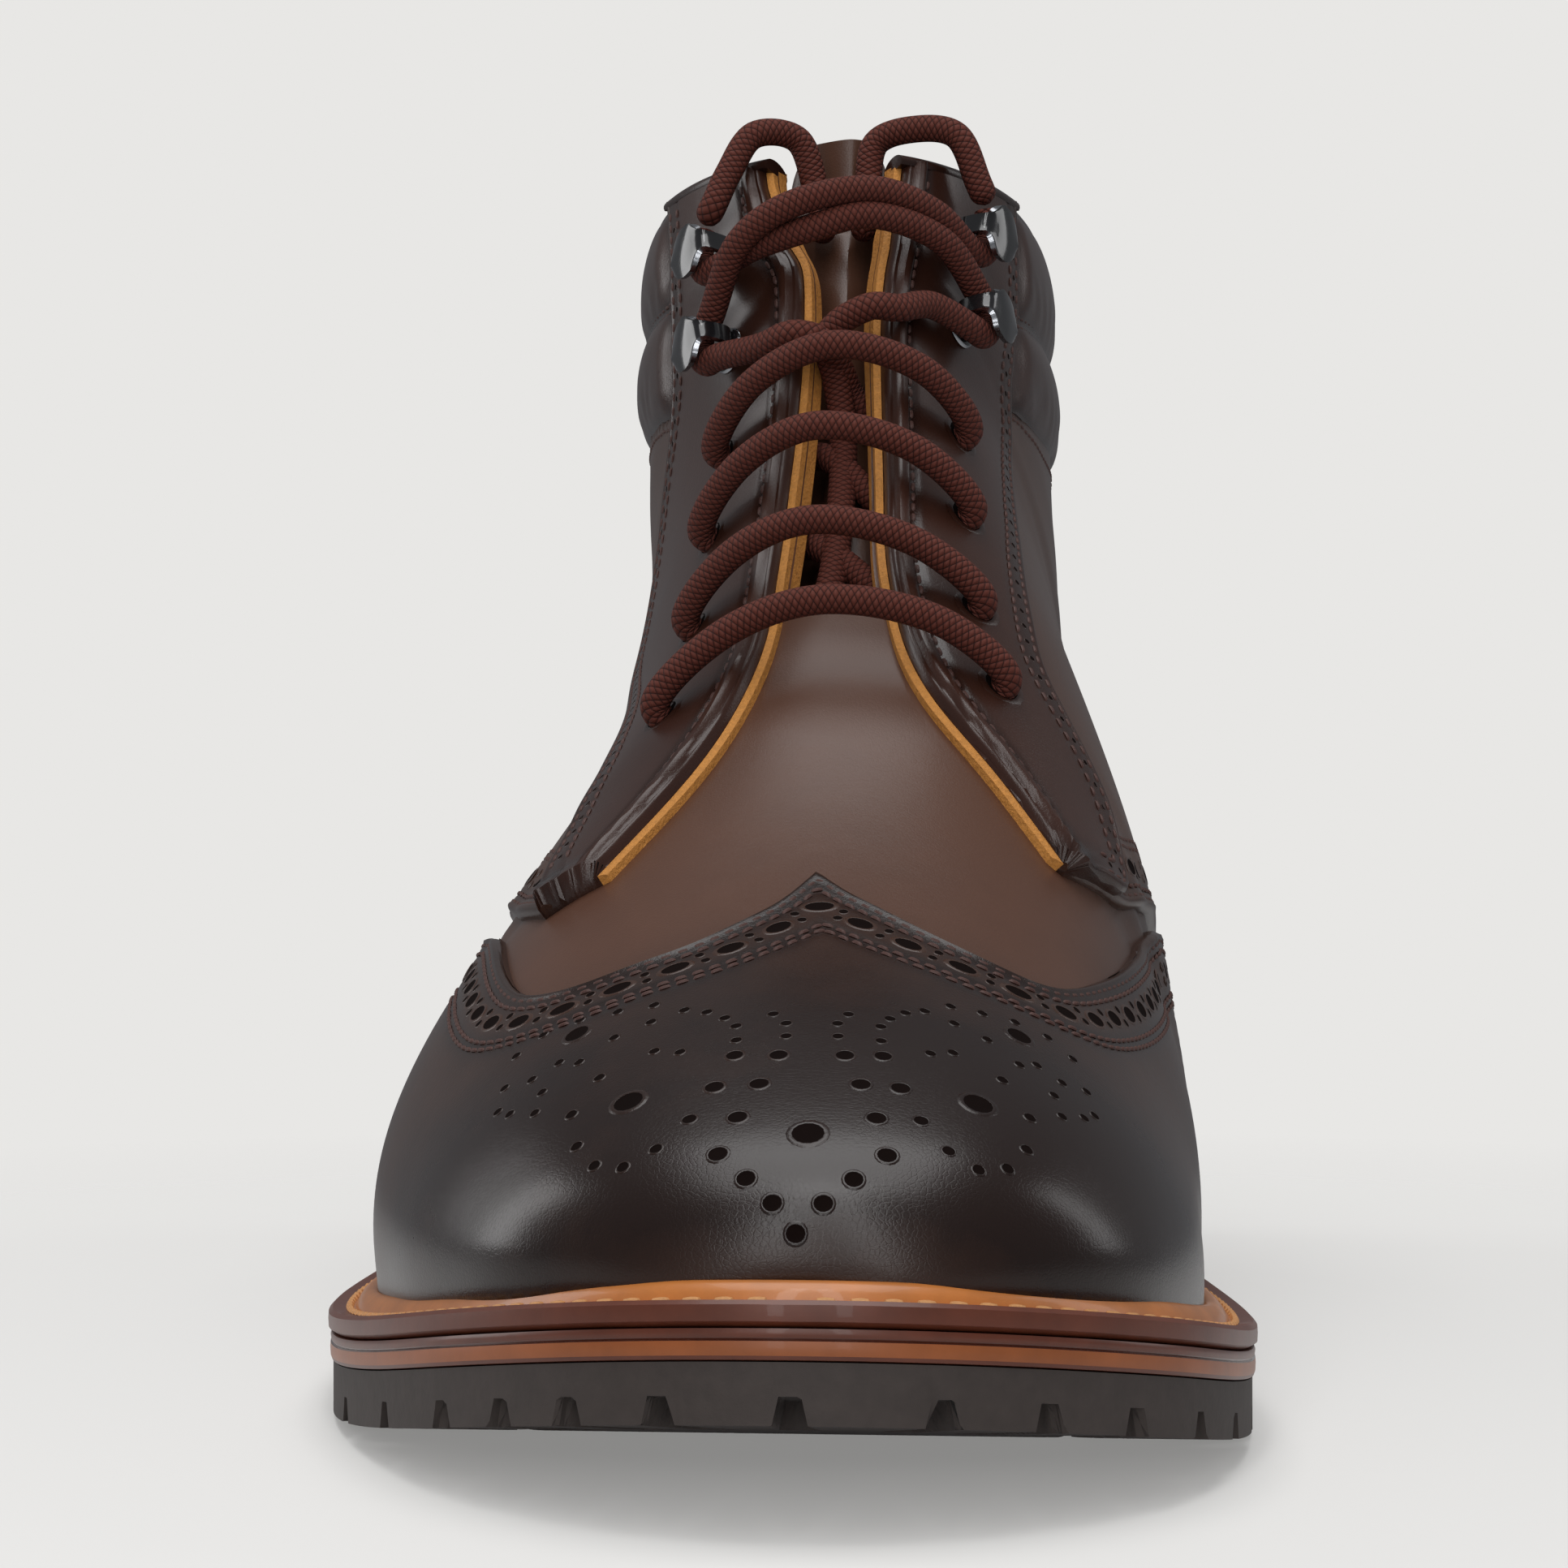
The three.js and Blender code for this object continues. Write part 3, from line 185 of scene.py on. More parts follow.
HOOKS = {
    "name": ["hook_lower_lateral", "hook_upper_lateral", "hook_lower_medial", "hook_upper_medial"],
    "v": [17.36, 20.64, 18.54, 22.09],
    "u": [-0.174, -0.176, 0.2, 0.212],
}

HEEL_ROW = SEAM["row"][0]
TOP_ROW = len(SECTIONS["t"]) - 1
ROWS = np.arange(TOP_ROW + 1)
STATIONS = np.linspace(0, 1, len(FEATHER["lateral"]))
spring_of = curve(WELT_LINE["t"], WELT_LINE["spring"], SHARE * TOE_SPRING)
rise_of = curve(WELT_LINE["t"], WELT_LINE["rise"], SHARE * HEEL_RISE)
SOLE_EDGE = WELT + MIDSOLE + RUBBER
FEATHER_START = WELT_OVERHANG - 0.7
FEATHER_LENGTH = SOLE_LENGTH - HEEL_OVERHANG - 0.2 - FEATHER_START
MIDDLE = (min(FEATHER["lateral"]) + max(FEATHER["medial"])) / 2 * SHARE * BALL_WIDTH
feather_l = curve(STATIONS, FEATHER["lateral"], SHARE * BALL_WIDTH)
feather_m = curve(STATIONS, FEATHER["medial"], SHARE * BALL_WIDTH)
station_of = curve(ROWS[:HEEL_ROW + 1], SECTIONS["station"][:HEEL_ROW + 1])
front_share = curve(ROWS, SECTIONS["t"], SHARE * FEATHER_LENGTH)
front_rise = curve(ROWS, SECTIONS["rise"], SHARE * UPPER_HEIGHT)
front_x = curve(ROWS, SECTIONS["x"], SHARE * BALL_WIDTH)
wide_l = curve(ROWS, SECTIONS["wide_l"], SHARE * BALL_WIDTH)
wide_m = curve(ROWS, SECTIONS["wide_m"], SHARE * BALL_WIDTH)
wide_at = curve(ROWS, SECTIONS["wide_at"])
round_l = curve(ROWS, SECTIONS["round_l"])
round_m = curve(ROWS, SECTIONS["round_m"])
round_b = curve(REAR_ROUND["row"], REAR_ROUND["round"])
seam_back = curve(SEAM["row"], SEAM["t"], SHARE * SOLE_LENGTH)
seam_rise = curve(SEAM["row"], SEAM["rise"], SHARE * UPPER_HEIGHT)
seam_x = curve(SEAM["row"], SEAM["x"], SHARE * BALL_WIDTH)


def welt_top(t):
    """Height of the welt's top: the sole's edge plus the toe's spring and the heel's rise."""
    place = t / SOLE_LENGTH / SHARE
    return SOLE_EDGE + spring_of(place) + rise_of(place)


def seat(t):
    """Height at which the upper starts: the welt's underside and the gap over it."""
    return welt_top(t) - WELT + SEAT_GAP


def feather_t(w):
    """Distance along at place w of the feather line: a half cosine from toe to heel."""
    return FEATHER_START + FEATHER_LENGTH * (1 - np.cos(np.pi * w)) / 2


# The upper's surface
SIDE_SPLIT = 0.6
RISE_ABOVE = 10.0
DROP_BELOW = 60.0


def sections_surface(v, u):
    """Point at section row v and side place u: -1 lateral end, 0 front ridge, 1 medial end.
    Each section is two superellipse quarters from the ridge to its widest place and on to
    the feather line or the back seam, in the plane from its front point to its end."""
    v, u = np.broadcast_arrays(np.asarray(v, float), np.asarray(u, float))
    row, a, lateral = np.clip(v, 0, TOP_ROW), np.clip(np.abs(u), 0, 1), u < 0
    beyond = RISE_ABOVE * np.maximum(v - TOP_ROW, 0) - DROP_BELOW * (np.abs(u) - a)
    low = row < HEEL_ROW
    w = np.clip(station_of(row), 0, 1)
    seam_t = FEATHER_START + FEATHER_LENGTH + seam_back(row)
    end_t = np.where(low, feather_t(w), seam_t)
    end_z = np.where(low, seat(feather_t(w)), seat(seam_t) + seam_rise(row))
    end_x = np.where(low, np.where(lateral, feather_l(w), feather_m(w)), seam_x(row))
    front_t = FEATHER_START + front_share(row)
    front_z = seat(front_t) + front_rise(row)
    wide = np.where(lateral, wide_l(row), wide_m(row))
    ridge, widest = front_x(row), wide_at(row)
    angle = np.minimum(a, SIDE_SPLIT) / SIDE_SPLIT * np.pi / 2
    power = 2 / np.where(lateral, round_l(row), round_m(row))
    fore_x = mix(ridge, wide, np.maximum(np.sin(angle), 0) ** power)
    fore_p = widest * (1 - np.maximum(np.cos(angle), 0) ** power)
    angle = np.clip((a - SIDE_SPLIT) / (1 - SIDE_SPLIT), 0, 1) * np.pi / 2
    rear_x = mix(end_x, wide, np.maximum(np.cos(angle), 0) ** (2 / round_b(row)))
    rear_p = mix(widest, 1, np.sin(angle))
    fore = a < SIDE_SPLIT
    x, p = np.where(fore, fore_x, rear_x), np.where(fore, fore_p, rear_p)
    y = mix(front_t, end_t, p) - SOLE_LENGTH / 2
    return np.stack([x - MIDDLE, y, mix(front_z, end_z, p) + beyond], -1)


def surface(v, u):
    """The sections' surface, with the change of direction across the heel's row eased on the
    flanks: half the point itself and a quarter of each neighbour a little above and below."""
    v, u = np.broadcast_arrays(np.asarray(v, float), np.asarray(u, float))
    flank = smooth(np.abs(u), 0.2, 0.35) * (1 - smooth(np.abs(u), 0.86, 0.97))
    reach = 1.5 * np.exp(-((v - HEEL_ROW) / 1.7) ** 2) * flank
    point = sections_surface(v, u)
    if not np.any(reach > 0.01):
        return point
    return (2 * point + sections_surface(v - reach, u) + sections_surface(v + reach, u)) / 4


STEP = 0.004  # half the small step along v or u that gives a slope


def unit(a):
    """Vectors divided by their own length."""
    return a / np.maximum(np.linalg.norm(a, axis=-1, keepdims=True), 1e-9)


def normal(v, u):
    """Outward unit normal: the cross product of the two small steps along u and v."""
    row, place = np.clip(v, 0.06, TOP_ROW - 0.001), np.clip(u, -0.995, 0.995)
    along = surface(row, place + STEP) - surface(row, place - STEP)
    up = surface(row + STEP, place) - surface(row - STEP, place)
    return unit(np.cross(along, up))


def frame_at(v, u):
    """Directions at one place: the outward normal, the small step away from the ridge made
    square to it, and up, which is the cross product of the two."""
    out, sign = normal(v, u), (np.sign(u) or 1.0)
    along = (surface(v, u + STEP) - surface(v, u - STEP)) * sign
    across = unit(along - out * np.sum(along * out))
    return out, across, np.cross(out, across) * sign


def at(v, u, height, shift=0.0, rise=0.0):
    """Surface point moved by a height outwards, a shift across and a rise up."""
    out, across, up = frame_at(v, u)
    return surface(v, u) + out * height + across * shift + up * rise


# Meshes
def loops_of(rows, columns, wrap=False):
    """Quads of a grid of rows by columns, each from a point, the next in its row and the two
    above them, so that u to the right and v up face out."""
    r = np.arange(rows - 1)[:, None] * columns
    c = np.arange(columns if wrap else columns - 1)[None]
    d = (c + 1) % columns
    return np.stack([r + c, r + d, r + columns + d, r + columns + c], -1).reshape(-1, 4)


def weld(points, quads):
    """Points within a ten-thousandth of a millimetre made one; the first of each is kept."""
    key = np.round(points * 1e4).astype(np.int64)
    _, first, back = np.unique(key, axis=0, return_index=True, return_inverse=True)
    return first, back.reshape(-1)[quads]


class Piece:
    """Points and faces gathered for one mesh, with a material number, a value of burnishing
    and painted shade and a pair of pattern places for each point."""

    def __init__(self):
        self.points, self.quads, self.kinds, self.burnish, self.places = [], [], [], [], []
        self.count = 0

    def add(self, points, quads, kind=0, burnish=0.0, places=None):
        """Points and faces put after those already there."""
        points = np.asarray(points, float).reshape(-1, 3)
        self.points.append(points)
        self.quads.append(quads + self.count)
        self.kinds.append(np.broadcast_to(kind, len(quads)))
        self.burnish.append(np.broadcast_to(burnish, len(points)))
        self.places.append(np.zeros((len(points), 2)) if places is None else places.reshape(-1, 2))
        self.count += len(points)

    def grid(self, points, wrap=False, flip=False, **more):
        """Sheet through a grid of points; wrap joins its last column to its first."""
        quads = loops_of(points.shape[0], points.shape[1], wrap)
        self.add(points, quads[:, ::-1] if flip else quads, **more)

    def tube(self, points, **more):
        """Closed skin over rings of points, with a fan to the middle of each end."""
        self.add(*closed_rings(points, points[0].mean(0), points[-1].mean(0)), **more)

    def shell(self, base, top, bottom, quads, kind=0, under=None, wall=None, burnish=0.0):
        """Closed sheet between top and bottom points, with walls along its open edges. Points
        with the same base are one."""
        first, quads = weld(base, quads)
        keep = np.array([len(set(q)) > 2 for q in quads.tolist()])
        quads = quads[keep]
        kind = np.broadcast_to(kind, len(keep))[keep]
        tone = np.broadcast_to(burnish, len(base))[first]
        n = len(first)
        heads, tails = quads.reshape(-1), np.roll(quads, -1, 1).reshape(-1)
        heads, tails = heads[heads != tails], tails[heads != tails]
        edge = ~np.isin(heads * n + tails, tails * n + heads)
        p, q = heads[edge], tails[edge]
        walls = np.stack([q, p, p + n, q + n], -1)
        back = kind if under is None else np.full(len(kind), under)
        side = np.full(len(walls), kind[0] if wall is None else wall)
        self.add(np.concatenate([top[first], bottom[first]]),
                 np.concatenate([quads, quads[:, ::-1] + n, walls]),
                 kind=np.concatenate([kind, back, side]), burnish=np.concatenate([tone, tone]))

    def finish(self, name, materials, slot, replaces=(), sharp=40.0, merge=True):
        """Mesh object in metres, riding on the boot's one body. A face is its quad less each
        corner that repeats the one before it."""
        points, quads = np.concatenate(self.points), np.concatenate(self.quads)
        kinds, tone = np.concatenate(self.kinds), np.concatenate(self.burnish)
        places = np.concatenate(self.places)
        corner_from = quads
        if merge:
            first, quads = weld(points, quads)
            points, tone = points[first], tone[first]
        same = np.stack([quads[:, i] != quads[:, i - 1] for i in range(4)], -1)
        total = same.sum(1)
        keep = total > 2
        loops, corners = quads[keep][same[keep]], corner_from[keep][same[keep]]
        starts = np.concatenate([[0], np.cumsum(total[keep])[:-1]])
        mesh = bpy.data.meshes.new(name)
        mesh.vertices.add(len(points))
        mesh.vertices.foreach_set("co", (points * MM).astype(np.float32).ravel())
        mesh.loops.add(len(loops))
        mesh.loops.foreach_set("vertex_index", loops.astype(np.int32))
        mesh.polygons.add(len(starts))
        mesh.polygons.foreach_set("loop_start", starts.astype(np.int32))
        mesh.polygons.foreach_set("material_index", kinds[keep].astype(np.int32))
        mesh.update(calc_edges=True)
        mesh.validate()
        # This point attribute carries burnishing and painted shade together.
        shade = mesh.attributes.new("burnish", "FLOAT", "POINT")
        shade.data.foreach_set("value", tone.astype(np.float32))
        layer = mesh.uv_layers.new(name="pattern")
        if places.any():
            layer.data.foreach_set("uv", places[corners].astype(np.float32).ravel())
        for material in materials:
            mesh.materials.append(material)
        mesh.polygons.foreach_set("use_smooth", np.ones(len(mesh.polygons), bool))
        mesh.set_sharp_from_angle(angle=math.radians(sharp))
        piece = bpy.data.objects.new(name.replace(" ", "_"), mesh)
        bpy.context.scene.collection.objects.link(piece)
        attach(piece, "root")
        if replaces:
            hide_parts(*replaces)
        return piece


# Working on the surface
def slopes(v, u):
    """Rates of the surface along v and u: the difference of two near points over their step."""
    e = 0.01
    along_v = (surface(v + e, u) - surface(v - e, u)) / (2 * e)
    along_u = (surface(v, u + e) - surface(v, u - e)) / (2 * e)
    return along_v, along_u


def beside(v, u, distance, steps=4):
    """Places of a line moved sideways on the surface, in small even steps: to the left of its
    way as seen from outside where the distance is positive. Folds at sharp corners, which lie
    nearer to the line than the distance, are left out."""
    line = surface(v, u)
    for _ in range(steps):
        points = surface(v, u)
        along = unit(np.gradient(points, axis=0))
        move = np.cross(normal(v, u), along) * (distance / steps)
        a, b = slopes(np.clip(v, 0.02, TOP_ROW - 0.02), np.clip(u, -0.98, 0.98))
        aa, ab, bb = (a * a).sum(-1), (a * b).sum(-1), (b * b).sum(-1)
        ma, mb = (move * a).sum(-1), (move * b).sum(-1)
        det = np.maximum(aa * bb - ab * ab, 1e-6)
        v, u = v + (ma * bb - mb * ab) / det, u + (mb * aa - ma * ab) / det
    keep = distance_to(surface(v, u), line) > abs(distance) * 0.965
    keep &= (np.abs(u) < 0.985) & (v < TOP_ROW - 0.12) & (v > 0.1)
    return (v[keep], u[keep]) if keep.sum() > 1 else (v, u)


def spaced(v, u, gap, start=0.0, end=0.0):
    """Places at even steps of length along a line, read off its running length."""
    lengths = np.linalg.norm(np.diff(surface(v, u), axis=0), axis=-1)
    s = np.concatenate([[0], np.cumsum(lengths)])
    count = max(int((s[-1] - start - end) / gap), 1)
    where = start + (s[-1] - start - end) * (np.arange(count) + 0.5) / count
    return np.interp(where, s, v), np.interp(where, s, u)


def frames(v, u, height):
    """Origins at a height over a line, and axes along it, to its left and outwards: the line's
    step less its share along the normal, and the cross product of the two."""
    out = normal(v, u)
    along = np.gradient(surface(v, u), axis=0) if len(np.atleast_1d(v)) > 1 else slopes(v, u)[1]
    along = unit(along - out * (along * out).sum(-1, keepdims=True))
    origin = surface(v, u) + out * np.asarray(height)[..., None]
    return origin, np.stack([along, np.cross(out, along), out], -2)


def distance_to(points, line):
    """Least distance of each point from a line's points."""
    flat = points.reshape(-1, 3)
    parts = [np.sqrt(((part[:, None] - line[None]) ** 2).sum(-1)).min(1)
             for part in np.array_split(flat, max(len(flat) // 2000, 1))]
    return np.concatenate(parts).reshape(points.shape[:-1])


def bump(x, centre, width):
    """Bell curve: e to the minus square of the distance from its centre over its width."""
    return np.exp(-((x - centre) / width) ** 2)


def scatter(piece, shape, quads, origins, axes, sizes=(1, 1, 1), **more):
    """Copies of a small shape: each point is its origin plus its own along, side and out
    times the shape's three coordinates and sizes."""
    sizes = np.broadcast_to(np.asarray(sizes, float), (len(origins), 3))
    points = origins[:, None] + np.einsum("pk,nk,nkd->npd", shape, sizes, axes)
    shift = np.arange(len(origins))[:, None, None] * len(shape)
    if "kind" in more and np.ndim(more["kind"]):
        more["kind"] = np.tile(more["kind"], len(origins))
    piece.add(points, (quads[None] + shift).reshape(-1, 4), **more)


def closed_rings(rings, first, last):
    """Points and quads of a skin over rings, closed by a fan to a point at each end; a fan's
    quad names its point twice."""
    rows, columns = rings.shape[:2]
    c = np.arange(columns)
    d, top, pole = (c + 1) % columns, (rows - 1) * columns, np.full(columns, rows * columns)
    quads = [loops_of(rows, columns, True), np.stack([d, c, pole, pole], -1),
             np.stack([top + c, top + d, pole + 1, pole + 1], -1)]
    return np.concatenate([rings.reshape(-1, 3), [first, last]]), np.concatenate(quads)


STITCH_SIDES = 6
STITCH_DIVE = 1.1


def stitch_shape():
    """Thread of one stitch: rings whose girth is the root of 1 less the fourth power of the
    way from the middle, sinking by that fourth power to a point at each end."""
    f = np.linspace(-1, 1, 6)[1:-1, None]
    angle = np.arange(STITCH_SIDES)[None] / STITCH_SIDES * 2 * np.pi
    girth = np.sqrt(1 - f ** 4)
    rings = np.stack([f + 0 * angle, girth * np.cos(angle),
                      girth * np.sin(angle) - STITCH_DIVE * f ** 4], -1)
    return closed_rings(rings, (-1, 0, -STITCH_DIVE), (1, 0, -STITCH_DIVE))


STITCH, STITCH_QUADS = stitch_shape()
STITCH_HALF = 0.43  # half a stitch's length, as a share of the step from one to the next


def stitch(piece, v, u, height, gap=2.5, kind=2, width=0.3, lift=0.2, start=1.0, end=1.0):
    """Row of stitches along a line, each a little shorter than its even step."""
    v, u = spaced(v, u, gap, start, end)
    origin, axes = frames(v, u, height + crease(v, u))
    scatter(piece, STITCH, STITCH_QUADS, origin, axes, (gap * STITCH_HALF, width, lift), kind=kind)


HOLE_SIDES = 14
HOLE_LIFT = 0.02


def hole_shape():
    """Punched hole: a low raised rim of rings about a dark flat dish, painted shade that stands
    for the inside of the hole, closed by a fan to its middle above and another below."""
    radius = np.array([1.42, 1.26, 1.1, 1.0, 0.92, 0.5])[:, None]
    height = np.array([-0.08, 0.05, 0.08, 0.06, HOLE_LIFT, HOLE_LIFT])[:, None]
    angle = np.arange(HOLE_SIDES)[None] / HOLE_SIDES * 2 * np.pi
    rings = np.stack([radius * np.cos(angle), radius * np.sin(angle), height + 0 * angle], -1)
    points, quads = closed_rings(rings, (0, 0, height[0, 0]), (0, 0, HOLE_LIFT))
    # Kind 3 is the dish: painted shade for the inside of the hole.
    return points, quads, np.repeat([0, 0, 0, 3, 3, 0, 3], HOLE_SIDES)


HOLE, HOLE_QUADS, HOLE_KINDS = hole_shape()


def punch(piece, v, u, height, along=1.0, across=None, burnish=0.6, depth=1.0):
    """Punched holes at places; along and across are their half sizes."""
    v, u = np.atleast_1d(v).astype(float), np.atleast_1d(u).astype(float)
    origin, axes = frames(v, u, height + crease(v, u))
    scatter(piece, HOLE, HOLE_QUADS, origin, axes, (along, across or along, depth),
            kind=HOLE_KINDS, burnish=burnish)


# Creases: row, place, reach along u, tilt, width and depth
CREASES = [
    (10.75, -0.36, 0.1, -3.0, 0.3, 0.55), (11.4, -0.4, 0.09, -3.4, 0.28, 0.4),
    (11.25, 0.4, 0.1, -3.0, 0.3, 0.55), (11.9, 0.44, 0.09, -3.4, 0.28, 0.35),
    (15.6, -0.56, 0.16, 2.0, 0.6, 0.7),
    (16.8, -0.6, 0.14, 2.0, 0.5, 0.4), (15.7, 0.56, 0.16, 2.0, 0.6, 0.7),
    (16.9, 0.6, 0.14, 2.0, 0.5, 0.4), (18.2, 0.5, 0.12, 1.5, 0.5, 0.3),
]


def crease(v, u):
    """Soft troughs where the boot flexes: each is a deep line along v with a swell beside it,
    faded out towards its ends along u."""
    total = 0.0
    for row, place, reach, tilt, width, deep in CREASES:
        line = row + tilt * (np.abs(u) - abs(place))
        side = np.exp(-((u - place) / reach) ** 2)
        total = total + deep * side * (bump(v, line + 1.5 * width, width) - bump(v, line, width))
    return total


def sheet(piece, grids, kind=0, under=1, wall=None):
    """Closed sheet over grids of places, each (v, u, high, low, tone): the surface's own points
    moved along the normal by the high and the low heights, with the creases added."""
    bases, tops, bottoms, quads, tones, count = [], [], [], [], [], 0
    for v, u, high, low, tone in grids:
        base, out, soft = surface(v, u), normal(v, u), crease(v, u)
        bases.append(base.reshape(-1, 3))
        tops.append((base + out * (high + soft)[..., None]).reshape(-1, 3))
        bottoms.append((base + out * (low + soft)[..., None]).reshape(-1, 3))
        tones.append(np.broadcast_to(tone, v.shape).reshape(-1))
        quads.append(loops_of(*v.shape) + count)
        count += v.size
    piece.shell(np.concatenate(bases), np.concatenate(tops), np.concatenate(bottoms),
                np.concatenate(quads), kind=kind, under=under, wall=wall, burnish=np.concatenate(tones))


EDGES = {side: {name: curve(table["row"], table[name]) for name in ("front", "rear", "low")}
         for side, table in ((-1, LATERAL), (1, MEDIAL))}
WING_EDGE = {-1: curve(WING["place"], WING["lateral"]), 1: curve(WING["place"], WING["medial"])}
FEATHER_PLACE = 1.0


def wing_row(u):
    """Row of the wing cap's edge at place u, from its own side's curve."""
    return np.where(u < 0, WING_EDGE[-1](np.abs(u)), WING_EDGE[1](np.abs(u)))


def toe_tone(v, u):
    """Burnish of the bare leather: the greatest of soft steps down from the toe, up towards
    the ankle and out on the flanks, with a pale middle of the vamp."""
    toe = 1 - smooth(v, 5.5, 9.5)
    ankle = 0.45 * smooth(v, 12.5, 15.5)
    flank = 0.55 * smooth(np.abs(u), 0.2, 0.5) * smooth(v, 8, 10)
    return np.clip(np.maximum(toe, np.maximum(ankle, flank)), 0, 1)


# Camera, then the lace ends, as in the frame's own route
scene = bpy.context.scene
CAMERA_PLACE = (0.0413, -0.5413, 0.075)
CAMERA_TURN = (90.39, 0.0, 4.86)
CAMERA_LENS = 88
CAMERA_SENSOR = 36
camera_data = bpy.data.cameras.new("photo_camera")
camera_data.lens = CAMERA_LENS
camera_data.sensor_width = CAMERA_SENSOR
camera = bpy.data.objects.new("photo_camera", camera_data)
camera.location = CAMERA_PLACE
camera.rotation_euler = [math.radians(a) for a in CAMERA_TURN]
scene.collection.objects.link(camera)
scene.camera = camera


def smooth_path(points, count):
    """Centripetal curve through points: each knot step is the square root of the distance."""
    p = np.array(points, float)
    p = np.concatenate([[2 * p[0] - p[1]], p, [2 * p[-1] - p[-2]]])
    place = np.linspace(0, len(p) - 3, count)
    i = np.minimum(place.astype(int), len(p) - 4)
    f = (place - i)[:, None]
    knots = [p[i + k] for k in range(4)]
    steps = [np.maximum(np.linalg.norm(knots[k + 1] - knots[k], axis=-1, keepdims=True) ** 0.5, 1e-4)
             for k in range(3)]
    a = (knots[1] - knots[0]) / steps[0] - (knots[2] - knots[0]) / (steps[0] + steps[1])
    a = (a + (knots[2] - knots[1]) / steps[1]) * steps[1]
    b = (knots[2] - knots[1]) / steps[1] - (knots[3] - knots[1]) / (steps[1] + steps[2])
    b = (b + (knots[3] - knots[2]) / steps[2]) * steps[1]
    cubic = 2 * knots[1] - 2 * knots[2] + a + b
    square = -3 * knots[1] + 3 * knots[2] - 2 * a - b
    return cubic * f ** 3 + square * f ** 2 + a * f + knots[1]


def even(points, gap):
    """Points at even steps along a path, read off its running length, and those lengths."""
    s = np.concatenate([[0], np.cumsum(np.linalg.norm(np.diff(points, axis=0), axis=-1))])
    where = np.linspace(0, s[-1], int(s[-1] / gap) + 1)
    return np.stack([np.interp(where, s, points[:, k]) for k in range(3)], -1), where


def turned_frames(points):
    """Two side directions along a path, carried on without twist: each is the one before it,
    less its share along the new tangent."""
    along = unit(np.gradient(points, axis=0))
    side = np.zeros_like(points)
    side[0] = unit(np.cross(along[0], [0.3, 0.2, 1.0]))
    for i in range(1, len(points)):
        side[i] = side[i - 1] - along[i] * (side[i - 1] @ along[i])
        side[i] /= np.linalg.norm(side[i])
    return side, np.cross(along, side)


LACE_SIDES = 18
LACE_STEP = 0.55
BRAID_PITCH = 3.4
BRAID_REPEATS = 3
SKIN_SHARE = 0.985


def lace_tube(piece, points, tips=True):
    """Round braided lace: rings along a path, each a circle in its two side directions, with
    round tips if asked. The pattern places are turns round it and braid pitches along it."""
    points, where = even(points, LACE_STEP)
    side, up = turned_frames(points)
    angle = np.arange(LACE_SIDES + 1) / LACE_SIDES * 2 * np.pi
    turns = np.broadcast_to(angle / (2 * np.pi), (len(points), LACE_SIDES + 1))
    runs = np.broadcast_to((where / BRAID_PITCH)[:, None], turns.shape)
    ends = np.minimum(where, where[-1] - where) / LACE_RADIUS
    ends = np.minimum(ends, 1) if tips else 1 + 0 * where
    r = LACE_RADIUS * SKIN_SHARE * np.sqrt(np.clip(1 - (1 - ends) ** 2, 0.04, 1))[:, None]
    ring = (points[:, None] + side[:, None] * (r * np.cos(angle))[..., None]
            + up[:, None] * (r * np.sin(angle))[..., None])
    places = np.stack([turns * BRAID_REPEATS, runs], -1)
    piece.grid(ring, places=places)
    for k in (0, -1):
        centre = np.broadcast_to(points[k], (LACE_SIDES + 1, 3))
        piece.grid(np.stack([ring[k], centre]), flip=k == 0, places=np.stack([places[k]] * 2))


# Eyelets and hooks by name, the hooks' own heights, and the free ends' routes
spot = {name: (v, u) for table in (EYELETS, HOOKS)
        for name, v, u in zip(table["name"], table["v"], table["u"])}
PLATE_FOOT = FACING_TOP + 0.25
HOOK_METAL = 0.8
HOOK_LACE = PLATE_FOOT + HOOK_METAL + 0.65 + LACE_RADIUS
LIP_FOOT = HOOK_LACE + LACE_RADIUS + 0.6
NECK_SHIFT = -1.6
NECK_RADIUS = 1.3
LATERAL_END = [
    at(20.64, -0.176, HOOK_LACE, 0.4, 6.4), at(22.4, -0.176, 5.4), at(24.2, -0.16, 5),
    at(25, -0.14, 2.6, 0, 4.6), at(25, -0.1, -2.6, 0, 4.6), at(24.3, -0.072, -5.6),
    at(23, -0.06, -6.3), at(21.4, -0.058, -6.4),
]
MEDIAL_END = [
    at(22.09, 0.212, HOOK_LACE, 0.5, 5.5), at(24.3, 0.213, 5.4), at(25, 0.19, 3.6, 0, 5),
    at(25, 0.155, -1, 0, 6.2), at(25, 0.095, -5.4, 0, 4.4), at(24, 0.078, -6.3),
    at(23, 0.072, -6.3), at(21.4, 0.07, -6.4),
]


# Materials
def material(name):
    """New node material; gives it, its tree and its shader."""
    made = bpy.data.materials.new(name)
    made.use_nodes = True
    tree = made.node_tree
    shader = next(node for node in tree.nodes if node.type == "BSDF_PRINCIPLED")
    return made, tree, shader


def put(tree, kind, **settings):
    """New node of a kind with its settings."""
    node = tree.nodes.new(kind)
    for key, value in settings.items():
        setattr(node, key, value)
    return node


def group(name, inputs, outputs):
    """Empty shader node group with named sockets; gives it, its way in and its way out."""
    tree = bpy.data.node_groups.new(name, "ShaderNodeTree")
    for title, kind, value in inputs:
        socket = tree.interface.new_socket(title, in_out="INPUT", socket_type=kind)
        if value is not None:
            socket.default_value = value
    for title, kind in outputs:
        tree.interface.new_socket(title, in_out="OUTPUT", socket_type=kind)
    return tree, put(tree, "NodeGroupInput"), put(tree, "NodeGroupOutput")


